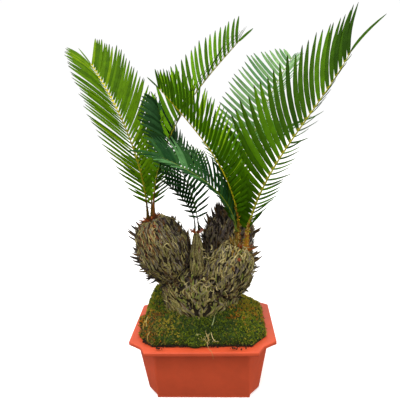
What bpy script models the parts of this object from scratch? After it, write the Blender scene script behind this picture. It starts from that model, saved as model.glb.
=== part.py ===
"""Potted sago palm (Cycas revoluta) grown as a many-headed bonsai in a plastic pot.

Metres, +Z up. The origin is the centre of the pot's flat underside. +X is the pot's long
way, to the right seen from its front, and -Y is the front.
"""

import math
import random
from dataclasses import dataclass

import bmesh
import bpy
from mathutils import Vector
from mathutils.bvhtree import BVHTree

# Clearances
GAP = 0.0003  # between touching pieces
LEAF_ROOM = 0.0004  # kept round a leaflet when it is tried against its neighbours

# Pot: half sizes seen from above, and heights above the ground
POT_HEIGHT = 0.075
RIM_HALF_WIDTH = 0.100
RIM_HALF_DEPTH = 0.083
RIM_FRONT_FLAT = 0.074  # half of the rim's straight run along the front
RIM_SIDE_FLAT = 0.0545  # half of its straight run along a side
RIM_NOTCH = (0.0815, 0.068)  # where the indented corner turns
RIM_THICKNESS = 0.0055
RIM_EDGE = 0.0008
BODY_TOP = (0.0900, 0.0755, 0.0625, 0.0450)  # half width, half depth, front flat, side flat
BODY_FOOT = (0.0757, 0.0690, 0.0618, 0.0515)
FOOT_INSET = 0.0070  # the sides stop this far out from the feet
FOOT_HEIGHT = 0.0040
OPENING = (0.0875, 0.0680, 0.0660, 0.0425)
WALL = 0.0025
FLOOR = 0.0065
DRAIN_RADIUS = 0.006
DRAIN_OFFSET = 0.040

# Soil and moss
SOIL_TOP = 0.0690
MOSS_EDGE = 0.0095  # the moss's height at the rim, over the rim's top
MOSS_SHOULDER = 0.006  # how far in from the rim it takes to rise
MOSS_RISE = 0.046  # more height round the trunk
MOSS_SPREAD = 0.060
MOSS_LOBE = (-0.070, 0.026)
MOSS_LOBE_RISE = 0.032
MOSS_LOBE_SPREAD = 0.022
MOSS_RIPPLE = 0.0015
MOSS_RINGS = 7

SEED = 7


@dataclass
class Bulb:
    """A swollen stem with leaf scales, from its foot to its flat crown."""

    foot: tuple
    crown: tuple
    radius: float
    depth: float = 1.0  # front-to-back radius as a share of the radius
    foot_radius: float = 0.010
    crown_radius: float = 0.010
    bulge: float = 0.5  # where along its length the bulb is widest
    columns: int = 14
    rows: int = 10
    scale: float = 0.0030  # how far a leaf scale's tip stands out
    lift: float = 0.0030  # how far that tip points up to the crown


TRUNK = Bulb((-0.003, -0.002, SOIL_TOP + GAP), (-0.003, -0.002, 0.166), 0.053, 0.84,
             0.036, 0.014, 0.58, 18, 8, 0.0022, 0.0015)
HEADS = {
    "left_head": Bulb((-0.034, -0.006, 0.146), (-0.069, 0.000, 0.231), 0.0380, 0.95,
                      bulge=0.46),
    "rear_head": Bulb((0.030, 0.040, 0.140), (0.048, 0.044, 0.229), 0.0375, 0.85,
                      crown_radius=0.013),
    "right_head": Bulb((0.024, -0.022, 0.126), (0.055, -0.022, 0.197), 0.0310, 0.80,
                       crown_radius=0.012),
    "centre_head": Bulb((-0.007, -0.026, 0.150), (-0.004, -0.012, 0.2155), 0.0130, 1.0,
                        0.004, 0.0065, 0.45, 9, 8, 0.0018, 0.0025),
}


@dataclass
class Row:
    """The leaflets on one side of a rib. Lift and sweep are (foot, tip) of the frond, in degrees."""

    lift: tuple  # over the flat
    sweep: tuple  # away from the rib
    length: float  # of the longest leaflet
    late: float = 0.7  # over 1, the lift and sweep change late, near the frond's tip
    droop: float = 0.10  # how far a leaflet's outer half bends down


@dataclass
class Frond:
    """A feather leaf. Angles are in degrees: azimuth 0 is +X and 90 is away from the front."""

    head: str
    seat: tuple  # place on the head's crown, to the right and to the back
    azimuth: float
    slopes: tuple  # the rib's slope at the crown, half way and at the tip
    length: float
    left: Row
    right: Row
    pairs: int = 24
    bare: float = 0.10  # share of the rib below the first leaflets
    taper: float = 0.40  # how much shorter the last leaflets are
    girth: float = 1.0


BACK_ROW = Row((20, 20), (74, 32), 0.080, droop=0.20)
FRONDS = {
    "frond_right_great": Frond(
        "right_head", (0.0070, -0.0020), 8, (85, 55, 61), 0.291,
        Row((57, 50), (62, 24), 0.120, late=1.4, droop=0.22),
        Row((15, -15), (94, 26), 0.108, late=9), pairs=26, taper=0.45,
    ),
    "frond_bright": Frond(
        "right_head", (-0.0035, 0.0045), 175, (99, 60, 50), 0.243,
        Row((55, 50), (76, 50), 0.062, late=1.0), Row((50, 50), (80, 52), 0.068, late=1.0),
        taper=0.60,
    ),
    "frond_low_front": Frond(
        "right_head", (-0.0065, -0.0035), 205, (101, 46, 28), 0.172,
        Row((10, 10), (75, 24), 0.050, droop=0.35),
        Row((45, 45), (88, 34), 0.055, late=1.2, droop=0.50), pairs=20,
    ),
    "frond_pale_back": Frond(
        "rear_head", (0.0020, -0.0070), 40, (80, 60, 46), 0.265,
        Row((40, 44), (60, 40), 0.072, droop=0.22), Row((20, 20), (68, 38), 0.065), taper=0.70,
    ),
    "frond_left_outer": Frond(
        "left_head", (-0.0045, 0.0000), 140, (91, 61, 47), 0.258,
        Row((-5, 10), (62, 22), 0.080, droop=0.35), Row((46, 42), (72, 36), 0.082, late=0.35),
    ),
    "frond_left_inner": Frond(
        "left_head", (0.0045, 0.0010), 35, (92, 53, 42), 0.303,
        Row((50, 50), (62, 22), 0.066, late=1.1), Row((28, 24), (82, 60), 0.066, late=2),
        pairs=26,
    ),
    "frond_dark_tall": Frond(
        "centre_head", (0.0030, 0.0010), 140, (89, 60, 78), 0.190,
        Row((0, 0), (78, 44), 0.052, droop=0.60),
        Row((30, 30), (96, 44), 0.050, late=0.5, droop=0.60), pairs=18, girth=0.65,
    ),
    "frond_dark_short": Frond(
        "centre_head", (-0.0030, -0.0010), 190, (102, 59, 44), 0.081,
        Row((0, 10), (80, 40), 0.045), Row((45, 45), (84, 50), 0.040, droop=0.30),
        pairs=10, bare=0.3, girth=0.65,
    ),
    "frond_back_left": Frond(
        "rear_head", (-0.0080, 0.0010), 133, (75, 14, -10), 0.210, BACK_ROW, BACK_ROW
    ),
    "frond_back": Frond(
        "rear_head", (0.0000, 0.0080), 90, (70, 22, -20), 0.200, BACK_ROW, BACK_ROW
    ),
    "frond_back_right": Frond(
        "rear_head", (0.0085, -0.0010), 56, (78, 35, 10), 0.210, BACK_ROW, BACK_ROW
    ),
    "frond_left_back": Frond(
        "left_head", (0.0000, 0.0075), 96, (72, 10, -20), 0.210, BACK_ROW, BACK_ROW
    ),
}
RIB_BASE = 0.0028  # half width of a rib at the crown
RIB_FIRST = 0.0017  # at its first leaflets
RIB_TIP = 0.0009
RIB_FOOT = 0.004  # height of the rib's first ring over the crown
RIB_STEPS = 48
LEAFLET_WIDTH = 0.0062
LEAFLET_THICKNESS = 0.0012
LEAFLET_ROOT = 0.42  # a leaflet's root, as a share of the distance between leaflets
LEAFLET_KNEE = 0.45  # share of a leaflet's length where it is widest and bends
CURL = 6.0  # degrees by which a leaflet's outer half turns to the frond's tip
BEND_TRIES = (0, 6, -6, 12, -12, 18)  # degrees by which a leaflet is lifted to clear others
NEIGHBOURS = 6  # earlier leaflets of the same frond that one is tried against


def make_material(name, color, roughness):
    material = bpy.data.materials.new(name)
    material.use_nodes = True
    shader = material.node_tree.nodes["Principled BSDF"]
    shader.inputs["Base Color"].default_value = (*color, 1.0)
    shader.inputs["Roughness"].default_value = roughness
    shader.inputs["Metallic"].default_value = 0.0
    return material


def make_object(name, mesh_data, material):
    """An object from a bmesh, with its faces turned outward."""
    bmesh.ops.recalc_face_normals(mesh_data, faces=mesh_data.faces)
    mesh = bpy.data.meshes.new(name)
    mesh_data.to_mesh(mesh)
    mesh_data.free()
    mesh.materials.append(material)
    obj = bpy.data.objects.new(name, mesh)
    bpy.context.scene.collection.objects.link(obj)
    return obj


def cut(obj, cutters):
    """Takes the cutters away from the object and keeps the largest piece of what is left."""
    for cutter in cutters:
        modifier = obj.modifiers.new("cut", "BOOLEAN")
        modifier.operation = "DIFFERENCE"
        modifier.object = cutter
        with bpy.context.temp_override(object=obj):
            bpy.ops.object.modifier_apply(modifier=modifier.name)
    for cutter in cutters:
        bpy.data.objects.remove(cutter)
    keep_largest(obj)


def keep_largest(obj):
    shape = bmesh.new()
    shape.from_mesh(obj.data)
    unseen = set(shape.verts)
    islands = []
    while unseen:
        island = set()
        edge_of_search = [unseen.pop()]
        while edge_of_search:
            vert = edge_of_search.pop()
            island.add(vert)
            for link in vert.link_edges:
                other = link.other_vert(vert)
                if other in unseen:
                    unseen.discard(other)
                    edge_of_search.append(other)
        islands.append(island)
    islands.sort(key=len)
    for island in islands[:-1]:
        bmesh.ops.delete(shape, geom=list(island), context="VERTS")
    shape.to_mesh(obj.data)
    shape.free()


def bridge(shape, lower, upper):
    """Quads between two rings of as many vertices."""
    count = len(lower)
    for i in range(count):
        j = (i + 1) % count
        shape.faces.new((lower[i], lower[j], upper[j], upper[i]))


def eight_sided(half_width, half_depth, front_flat, side_flat):
    """Corner points of a rectangle with cut corners, each cut split in three."""
    points = []
    for sx, sy in ((1, -1), (1, 1), (-1, 1), (-1, -1)):
        front = Vector((sx * front_flat, sy * half_depth))
        side = Vector((sx * half_width, sy * side_flat))
        run = [front.lerp(side, k / 3) for k in range(4)]
        points += run if sx * sy < 0 else run[::-1]
    return points


def rim_outline(inset):
    """The rim's outline with its four indented corners, drawn in by the inset."""
    front = (RIM_FRONT_FLAT, RIM_HALF_DEPTH - inset)
    notch = (RIM_NOTCH[0] - inset, RIM_NOTCH[1] - inset)
    ear = (0.5 * (RIM_NOTCH[0] + RIM_HALF_WIDTH) - inset, 0.5 * (RIM_NOTCH[1] + RIM_SIDE_FLAT) - inset)
    side = (RIM_HALF_WIDTH - inset, RIM_SIDE_FLAT)
    points = []
    for sx, sy in ((1, -1), (1, 1), (-1, 1), (-1, -1)):
        run = [Vector((sx * x, sy * y)) for x, y in (front, notch, ear, side)]
        points += run if sx * sy < 0 else run[::-1]
    return points


def body_sizes(height, inset=0.0):
    """The body's plan sizes at a height, drawn in by the inset."""
    share = height / (POT_HEIGHT - RIM_THICKNESS)
    width, depth, front, side = (
        low + (high - low) * share for low, high in zip(BODY_FOOT, BODY_TOP)
    )
    corner = inset * math.tan(math.radians(22.5))
    return width - inset, depth - inset, front - corner, side - corner


def ring(shape, outline, height):
    return [shape.verts.new((p.x, p.y, height)) for p in outline]


def stack(shape, rings):
    """A closed solid through the rings, from its bottom cap to its top cap."""
    for lower, upper in zip(rings, rings[1:]):
        bridge(shape, lower, upper)
    shape.faces.new(rings[0][::-1])
    shape.faces.new(rings[-1])


def make_pot():
    under_rim = POT_HEIGHT - RIM_THICKNESS
    foot = eight_sided(*body_sizes(0, FOOT_INSET))
    for point in foot:
        # The long front and back feet stay flush with the body.
        if abs(point.y) > BODY_FOOT[1] - 2 * FOOT_INSET:
            point.y = math.copysign(BODY_FOOT[1], point.y)
    shape = bmesh.new()
    rings = [ring(shape, foot, 0.0), ring(shape, foot, FOOT_HEIGHT)]
    for height in (FOOT_HEIGHT, 0.5 * under_rim, under_rim):
        rings.append(ring(shape, eight_sided(*body_sizes(height)), height))
    rings.append(ring(shape, rim_outline(RIM_EDGE), under_rim))
    rings.append(ring(shape, rim_outline(0.0), under_rim + RIM_EDGE))
    rings.append(ring(shape, rim_outline(0.0), POT_HEIGHT - RIM_EDGE))
    rings.append(ring(shape, rim_outline(RIM_EDGE), POT_HEIGHT))
    rings.append(ring(shape, eight_sided(*OPENING), POT_HEIGHT))
    rings.append(ring(shape, eight_sided(*body_sizes(under_rim, WALL)), under_rim))
    rings.append(ring(shape, eight_sided(*body_sizes(FLOOR, WALL)), FLOOR))
    stack(shape, rings)
    pot = make_object("pot", shape, make_material("pot_red", (0.55, 0.09, 0.035), 0.45))
    drains = []
    for side in (-1, 1):
        bpy.ops.mesh.primitive_cylinder_add(
            vertices=16, radius=DRAIN_RADIUS, depth=4 * FLOOR, location=(side * DRAIN_OFFSET, 0, 0)
        )
        drains.append(bpy.context.object)
    cut(pot, drains)
    return pot


def make_soil():
    """Soil that fills the pot to just under its rim."""
    shape = bmesh.new()
    inset = WALL + GAP
    rings = [
        ring(shape, eight_sided(*body_sizes(height, inset)), height)
        for height in (FLOOR + GAP, SOIL_TOP)
    ]
    stack(shape, rings)
    return make_object("soil", shape, make_material("soil_dark", (0.035, 0.022, 0.014), 0.95))


def moss_height(x, y, edge_distance):
    """Height of the moss over the ground, from how far in from the pot's opening it is."""
    shoulder = MOSS_EDGE * (1 - math.exp(-edge_distance / MOSS_SHOULDER))
    mound = MOSS_RISE * math.exp(-(x * x + y * y) / MOSS_SPREAD**2)
    lobe_x, lobe_y = MOSS_LOBE
    away = (x - lobe_x) ** 2 + (y - lobe_y) ** 2
    lobe = MOSS_LOBE_RISE * math.exp(-away / MOSS_LOBE_SPREAD**2)
    ripple = MOSS_RIPPLE * math.sin(170 * x + 1.3) * math.sin(210 * y + 0.4)
    return POT_HEIGHT + shoulder + mound + min(1, edge_distance / MOSS_SHOULDER) * (lobe + ripple)


def make_moss(trunk_cutter):
    """A mound over the soil, open where the trunk passes through."""
    shape = bmesh.new()
    outline = eight_sided(*OPENING)
    edge = [p * (1 - 2 * GAP / p.length) for p in outline]
    rings = [ring(shape, edge, SOIL_TOP + GAP)]
    for step in range(MOSS_RINGS):
        share = (step / MOSS_RINGS) ** 1.5
        points = [p * (1 - share) for p in edge]
        heights = [moss_height(p.x, p.y, share * p0.length) for p, p0 in zip(points, edge)]
        rings.append([shape.verts.new((p.x, p.y, h)) for p, h in zip(points, heights)])
    stack(shape, rings)
    bmesh.ops.triangulate(shape, faces=shape.faces)
    moss = make_object("moss", shape, make_material("moss_green", (0.10, 0.17, 0.02), 0.95))
    cut(moss, [trunk_cutter])
    return moss


def bulb_frame(bulb):
    foot = Vector(bulb.foot)
    axis = (Vector(bulb.crown) - foot).normalized()
    right = Vector((0, 1, 0)).cross(axis).normalized()
    return foot, axis, right, axis.cross(right)


def bulb_shape(bulb, grow=0.0):
    """Rows of diamond leaf scales round the bulb, each raised to a tip."""
    foot, axis, right, back = bulb_frame(bulb)
    length = (Vector(bulb.crown) - foot).length
    shape = bmesh.new()
    rows = []
    for i in range(bulb.rows + 1):
        angle = math.pi * (i / bulb.rows - 0.5)
        reach = bulb.bulge if angle < 0 else 1 - bulb.bulge
        end = bulb.foot_radius if angle < 0 else bulb.crown_radius
        along = length * (bulb.bulge + reach * math.sin(angle)) + grow * math.sin(angle)
        out = end + (bulb.radius - end) * math.cos(angle) + grow
        row = []
        for j in range(bulb.columns):
            turn = math.tau * (j + 0.5 * (i % 2)) / bulb.columns
            spoke = right * math.cos(turn) + back * (bulb.depth * math.sin(turn))
            row.append(shape.verts.new(foot + axis * along + spoke * out))
        rows.append(row)
    columns = bulb.columns
    for i in range(bulb.rows - 1):
        step = i % 2
        for j in range(columns):
            left = rows[i + 1][(j + step - 1) % columns]
            other = rows[i + 1][(j + step) % columns]
            corners = (rows[i][j], other, rows[i + 2][j], left)
            middle = sum((v.co for v in corners), Vector()) / 4
            away = middle - foot - axis * (middle - foot).dot(axis)
            fade = math.sin(math.pi * (i + 1) / bulb.rows)
            tip = shape.verts.new(
                middle + away.normalized() * bulb.scale * fade + axis * bulb.lift * fade
            )
            for k in range(4):
                shape.faces.new((corners[k], corners[(k + 1) % 4], tip))
    for j in range(columns):
        shape.faces.new((rows[0][j], rows[0][(j + 1) % columns], rows[1][j]))
        step = (bulb.rows - 1) % 2
        top = rows[bulb.rows]
        below = rows[bulb.rows - 1][(j + 1 - step) % columns]
        shape.faces.new((top[j], below, top[(j + 1) % columns]))
    shape.faces.new(rows[0][::-1])
    shape.faces.new(rows[-1])
    return shape


def bulb_cutter(bulb):
    return make_object("cutter", bulb_shape(bulb, 1.5 * GAP), bpy.data.materials["bark"])


def make_caudex():
    """The trunk and its four heads, each cut clear of those before it."""
    bark = make_material("bark", (0.16, 0.13, 0.08), 0.9)
    trunk = make_object("trunk", bulb_shape(TRUNK), bark)
    cut_by = {
        "left_head": [TRUNK],
        "rear_head": [TRUNK],
        "right_head": [TRUNK, HEADS["rear_head"]],
        "centre_head": [TRUNK, HEADS["left_head"], HEADS["rear_head"], HEADS["right_head"]],
    }
    heads = []
    for name, others in cut_by.items():
        head = make_object(name, bulb_shape(HEADS[name]), bark)
        cut(head, [bulb_cutter(other) for other in others])
        heads.append(head)
    return [trunk, *heads]


def slope_at(slopes, share):
    """The slope on the parabola through those at the crown, half way and at the tip."""
    crown, middle, tip = slopes
    return (
        crown * (1 - share) * (1 - 2 * share)
        + middle * 4 * share * (1 - share)
        + tip * share * (2 * share - 1)
    )


def rib_points(frond, count):
    """The rib's (point, along, crown side, right side) at even steps from crown to tip."""
    bulb = HEADS[frond.head]
    _, axis, right, back = bulb_frame(bulb)
    point = Vector(bulb.crown) + right * frond.seat[0] + back * frond.seat[1] + axis * GAP
    azimuth = math.radians(frond.azimuth)
    step = frond.length / count
    stations = []
    for i in range(count + 1):
        share = i / count
        slope = math.radians(slope_at(frond.slopes, share))
        out = Vector((math.cos(azimuth), math.sin(azimuth), 0))
        along = out * math.cos(slope) + Vector((0, 0, math.sin(slope)))
        inner = Vector((0, 0, math.cos(slope))) - out * math.sin(slope)
        stations.append((point.copy(), along, inner, along.cross(inner)))
        point += along * step
    return stations


def rib_at(stations, distance, length):
    """The rib's frame at a distance from the crown, between its stations."""
    place = max(0.0, min(1.0, distance / length)) * (len(stations) - 1)
    low = min(int(place), len(stations) - 2)
    return [a.lerp(b, place - low) for a, b in zip(stations[low], stations[low + 1])]


def rib_radius(frond, distance):
    first = frond.bare * frond.length
    if distance < first:
        radius = RIB_BASE + (RIB_FIRST - RIB_BASE) * distance / first
    else:
        radius = RIB_FIRST + (RIB_TIP - RIB_FIRST) * (distance - first) / (frond.length - first)
    return radius * frond.girth


def leaflet_stance(frond, row, share):
    """(length, degrees over the flat, degrees from the rib) at a share of the leafy part."""
    grown = 0.28 + 0.72 * math.sin(0.5 * math.pi * min(1, share / 0.4))
    shrunk = 1 - frond.taper * max(0, (share - 0.72) / 0.28) ** 1.3
    turned = share**row.late
    lift, sweep = (foot + (tip - foot) * turned for foot, tip in (row.lift, row.sweep))
    return row.length * grown * shrunk, lift, sweep


def leaflet_points(frond, frame, share, side, bend, spacing):
    """The four knee corners and the tip of a leaflet that is lifted by a few degrees more."""
    point, along, inner, right = frame
    row = frond.right if side > 0 else frond.left
    length, lift, sweep = leaflet_stance(frond, row, share)
    lean = math.radians(lift + bend)
    out = right * (side * math.cos(lean)) + inner * math.sin(lean)
    sweep = math.radians(sweep)
    curled = sweep - math.radians(CURL)
    first = along * math.cos(sweep) + out * math.sin(sweep)
    last = along * math.cos(curled) + out * math.sin(curled) - inner * row.droop
    last.normalize()
    knee = point + first * (length * LEAFLET_KNEE)
    width = min(LEAFLET_WIDTH, 0.8 * spacing * math.sin(sweep)) * 0.5
    wide = (along - first * along.dot(first)).normalized() * width
    thick = first.cross(wide).normalized() * (side * 0.5 * LEAFLET_THICKNESS)
    corners = [knee - wide - thick, knee - wide + thick, knee + wide + thick, knee + wide - thick]
    return corners, knee + last * (length * (1 - LEAFLET_KNEE))


def blade_tree(root, knee, tip):
    """A search tree of a leaflet from its root to its tip, grown by the room it needs."""
    middle = sum(knee, Vector()) / 4
    grown = [c + (c - middle).normalized() * LEAF_ROOM for c in knee]
    points = [*grown, tip + (tip - middle).normalized() * LEAF_ROOM, *root]
    faces = [(i, (i + 1) % 4, 4) for i in range(4)]
    faces += [(i, 5 + i, 5 + (i + 1) % 4, (i + 1) % 4) for i in range(4)]
    return BVHTree.FromPolygons(points, faces)


class FrondBuilder:
    """Grows one frond: first its rib, then leaflets out of the rib's side faces."""

    def __init__(self, name, frond):
        self.name = name
        self.frond = frond
        self.stations = rib_points(frond, RIB_STEPS)
        self.spacing = frond.length * (1 - frond.bare) / frond.pairs
        self.shape = bmesh.new()
        self.sides = []
        self.grow_rib()

    def grow_rib(self):
        frond = self.frond
        half_root = 0.5 * LEAFLET_ROOT * self.spacing
        distances = [0.0, RIB_FOOT]
        for pair in range(frond.pairs):
            middle = frond.bare * frond.length + (pair + 0.5) * self.spacing
            distances += [middle - half_root, middle + half_root]
        distances.append(frond.length)
        rings = [self.rib_ring(distance) for distance in distances]
        self.shape.faces.new(rings[0][::-1])
        self.shape.faces.new(rings[-1])
        for index, (low, high) in enumerate(zip(rings, rings[1:])):
            faces = [
                self.shape.faces.new((low[k], low[(k + 1) % 4], high[(k + 1) % 4], high[k]))
                for k in range(4)
            ]
            leafy = index >= 2 and index % 2 == 0 and index < len(rings) - 2
            if leafy:
                middle = 0.5 * (distances[index] + distances[index + 1])
                self.sides.append((middle, {1: faces[0], -1: faces[2]}))

    def rib_ring(self, distance):
        """Four corners round the rib, those of faces 0 and 2 on its right and left."""
        point, _, inner, right = rib_at(self.stations, distance, self.frond.length)
        radius = rib_radius(self.frond, distance)
        if distance == 0:
            # The first ring lies flat on the head's crown.
            axis = bulb_frame(HEADS[self.frond.head])[1]
            inner = inner - axis * inner.dot(axis)
            right = right - axis * right.dot(axis)
            inner = axis.cross(right).normalized() * (1 if axis.cross(right).dot(inner) > 0 else -1)
        corners = ((1, -1), (1, 1), (-1, 1), (-1, -1))
        return [
            self.shape.verts.new(point + right.normalized() * (a * radius) + inner * (b * radius))
            for a, b in corners
        ]

    def tree(self):
        self.shape.verts.ensure_lookup_table()
        self.shape.verts.index_update()
        return BVHTree.FromBMesh(self.shape)

    def grow_leaflets(self, obstacles, random_turn):
        """Adds the leaflets that find room, and returns how many were left out."""
        frond = self.frond
        skipped = 0
        own = []
        first = frond.bare * frond.length
        for middle, faces in self.sides:
            share = (middle - first) / (frond.length - first)
            frame = rib_at(self.stations, middle, frond.length)
            for side, face in faces.items():
                sway = random_turn.uniform(-2, 2)
                root = [loop.vert for loop in face.loops]
                placed = False
                for bend in BEND_TRIES:
                    corners, tip = leaflet_points(
                        frond, frame, share, side, sway + bend, self.spacing
                    )
                    knee = matched([v.co for v in root], corners)
                    blade = blade_tree([v.co for v in root], knee, tip)
                    if any(blade.overlap(other) for other in obstacles + own[-NEIGHBOURS:]):
                        continue
                    self.grow_blade(face, root, knee, tip)
                    own.append(blade)
                    placed = True
                    break
                skipped += not placed
        return skipped

    def grow_blade(self, face, root, knee, tip):
        """Replaces a side face of the rib with a blade that narrows to the tip."""
        self.shape.faces.remove(face)
        knee = [self.shape.verts.new(c) for c in knee]
        point = self.shape.verts.new(tip)
        for k in range(4):
            n = (k + 1) % 4
            self.shape.faces.new((root[k], root[n], knee[n], knee[k]))
            self.shape.faces.new((knee[k], knee[n], point))


def matched(root, corners):
    """The knee's corners in the order and direction that twist the blade least."""
    orders = []
    for run in (corners, corners[::-1]):
        orders += [run[k:] + run[:k] for k in range(4)]
    middle = sum(corners, Vector()) / 4
    start = sum(root, Vector()) / 4

    def likeness(order):
        return sum(
            (v - start).normalized().dot((c - middle).normalized()) for v, c in zip(root, order)
        )

    return max(orders, key=likeness)


def make_fronds(solids):
    """All fronds, with every leaflet clear of the other solids."""
    random_turn = random.Random(SEED)
    green = make_material("frond_green", (0.08, 0.19, 0.03), 0.55)
    builders = [FrondBuilder(name, frond) for name, frond in FRONDS.items()]
    fixed = []
    graph = bpy.context.evaluated_depsgraph_get()
    for obj in solids:
        fixed.append(BVHTree.FromObject(obj, graph))
    ribs = {builder.name: builder.tree() for builder in builders}
    grown = []
    for builder in builders:
        others = [tree for name, tree in ribs.items() if name != builder.name]
        skipped = builder.grow_leaflets(fixed + others + grown, random_turn)
        grown.append(builder.tree())
        print(f"{builder.name}: {skipped} leaflets left out")
    for builder in builders:
        make_object(builder.name, builder.shape, green)


def main():
    for obj in list(bpy.data.objects):
        bpy.data.objects.remove(obj)
    pot = make_pot()
    soil = make_soil()
    caudex = make_caudex()
    moss = make_moss(bulb_cutter(TRUNK))
    make_fronds([pot, soil, moss, *caudex])


main()
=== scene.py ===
"""Looks of the potted sago palm: pot, moss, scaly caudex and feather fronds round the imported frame.

Metres, +Z up, origin at the centre of the pot's underside, -Y to the front.
"""

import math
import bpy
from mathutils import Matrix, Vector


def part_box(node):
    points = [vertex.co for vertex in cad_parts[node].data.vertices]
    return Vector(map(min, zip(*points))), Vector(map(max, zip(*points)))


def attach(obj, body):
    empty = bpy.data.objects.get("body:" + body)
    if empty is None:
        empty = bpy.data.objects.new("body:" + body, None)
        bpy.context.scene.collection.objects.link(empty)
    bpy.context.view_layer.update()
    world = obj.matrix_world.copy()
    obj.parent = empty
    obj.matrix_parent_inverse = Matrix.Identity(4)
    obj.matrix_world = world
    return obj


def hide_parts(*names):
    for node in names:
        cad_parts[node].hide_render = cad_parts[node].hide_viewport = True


bl_info = {
    "name": "Potted sago palm",
    "version": (1, 0, 0),
    "blender": (4, 5, 0),
    "location": "View3D > Sidebar > Sago Palm",
    "description": "Builds a many-headed sago palm bonsai in its plastic pot",
    "category": "Add Mesh",
}

from dataclasses import dataclass

import bmesh
import bpy
import numpy as np
from bpy.props import FloatProperty, FloatVectorProperty, IntProperty, PointerProperty
from bpy.types import Operator, Panel, PropertyGroup
from mathutils import Matrix, Vector

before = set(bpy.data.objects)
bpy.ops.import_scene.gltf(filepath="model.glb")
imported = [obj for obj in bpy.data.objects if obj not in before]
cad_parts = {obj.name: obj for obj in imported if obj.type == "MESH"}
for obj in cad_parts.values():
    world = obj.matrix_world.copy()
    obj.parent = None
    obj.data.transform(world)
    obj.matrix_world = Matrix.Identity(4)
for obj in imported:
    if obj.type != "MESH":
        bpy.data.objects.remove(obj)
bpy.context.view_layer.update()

BODY = "root"
MM = 0.001
# Seeds of the random draws. Each bulb and each frond counts on from its first one.
SOIL_SEED = 11
MOSS_SEED = 5
BULB_SEED = 100
CURL_SEED = 77
FROND_SEED = 300


def paint(code):
    """The linear colour of an sRGB hex value."""
    parts = (int(code[i : i + 2], 16) / 255 for i in (1, 3, 5))
    return tuple(p / 12.92 if p <= 0.04045 else ((p + 0.055) / 1.055) ** 2.4 for p in parts)


# The plant's rule, as its solids follow it


@dataclass
class Bulb:
    """A swollen stem from its foot to its flat crown."""

    foot: tuple
    crown: tuple
    radius: float
    depth: float = 1.0  # its thickness from front to back against its width
    foot_radius: float = 0.010
    crown_radius: float = 0.010
    bulge: float = 0.5  # share of its length at which it is widest


TRUNK = Bulb((-0.003, -0.002, 0.0693), (-0.003, -0.002, 0.166), 0.053, 0.84, 0.036, 0.014, 0.58)
LEFT_HEAD = Bulb((-0.034, -0.006, 0.146), (-0.069, 0.000, 0.231), 0.0380, 0.95, bulge=0.46)
REAR_HEAD = Bulb((0.030, 0.040, 0.140), (0.048, 0.044, 0.229), 0.0375, 0.85, crown_radius=0.013)
RIGHT_HEAD = Bulb((0.024, -0.022, 0.126), (0.055, -0.022, 0.197), 0.0310, 0.80, crown_radius=0.012)
CENTRE_HEAD = Bulb((-0.007, -0.026, 0.150), (-0.004, -0.012, 0.2155), 0.0130, 1.0, 0.004, 0.0065, 0.45)
BULBS = {
    "trunk": TRUNK,
    "left_head": LEFT_HEAD,
    "rear_head": REAR_HEAD,
    "right_head": RIGHT_HEAD,
    "centre_head": CENTRE_HEAD,
}


@dataclass
class Row:
    """The leaflets on one side of a rib. Lift and sweep are (foot, tip) of the frond, in degrees."""

    lift: tuple
    sweep: tuple
    length: float
    late: float = 0.7  # above one the leaflets keep their stance at the foot for longer
    droop: float = 0.10  # how far a leaflet hangs, as a share of its length
    taper: float = 0.40  # share of its length that the last leaflet lacks
    curl: float = 6.0  # how far a leaflet turns to the frond's tip as it goes out, in degrees
    broad: float = 1.0  # its leaflets' width against the usual one
    skew: float = 0.0  # turn of each leaflet about its own length, in degrees
    slim: float = 0.0  # share of their width that the leaflets lose towards the frond's tip


@dataclass
class Frond:
    """A feather leaf. Angles are in degrees: azimuth 0 is +X and 90 is away from the front."""

    head: Bulb
    seat: tuple  # how far right and back on the head's crown, in metres
    azimuth: float
    slopes: tuple  # the rib's rise at the crown, half way and at the tip
    length: float
    left: Row
    right: Row
    colors: tuple
    pairs: int = 36
    spread: float = 1.0  # above one the pairs stand closer at the foot and wider at the tip
    bare: float = 0.10  # share of the rib, from the crown, that has no leaflets
    girth: float = 1.0  # the rib's thickness against the usual one
    foot: float = 1.0  # how much thicker than usual the stalk's foot is
    end: float = 0.0  # length of the leaflet that goes on from the rib's tip
    nod: float = 0.10  # how far that leaflet leans out, as a share of its length
    bright: float = 1.0  # share of the rib from which it and the leaflets' feet are bright
    wool: int = 0  # ochre flecks on the stalk


# Colours of each frond: three greens of its upper side, its underside, its rib and its stalk.
GREAT_GREENS = ("#365A00", "#284800", "#4A7400", "#2A4602", "#A8A42C", "#A07424")
BRIGHT_GREENS = ("#629204", "#4E7E04", "#80AC0E", "#447004", "#C4B41E", "#96701E")
OUTER_GREENS = ("#547A00", "#426600", "#6E8E04", "#3A5A04", "#C8BC2C", "#5A4418")
INNER_GREENS = ("#528004", "#3E6600", "#66980A", "#3A5C02", "#968E20", "#7C4A1A")
# The low front frond's third green is much paler than its others: partly leaflet tone, partly painted
# highlight.
BLUE_GREENS = ("#2E5828", "#1E4420", "#56864C", "#466A40", "#7E8A28", "#6A5420")
PALE_GREENS = ("#78A064", "#64905A", "#8CB474", "#769C68", "#94A44C", "#7A6228")
DARK_GREENS = ("#2A4E28", "#1A3A18", "#3C6834", "#2C4E26", "#3E5E1C", "#262810")
# The short frond's greens are near black: painted shade, for it sits low in the crown.
SHADE_GREENS = ("#16280C", "#0E1E08", "#223A14", "#1A3010", "#222E0E", "#181A0C")
BACK_GREENS = ("#366806", "#2A5404", "#4A7C0C", "#385E12", "#828A1C", "#5E4A1C")

WOOL_COLORS = ("#D8B85C", "#8E451E")

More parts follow.
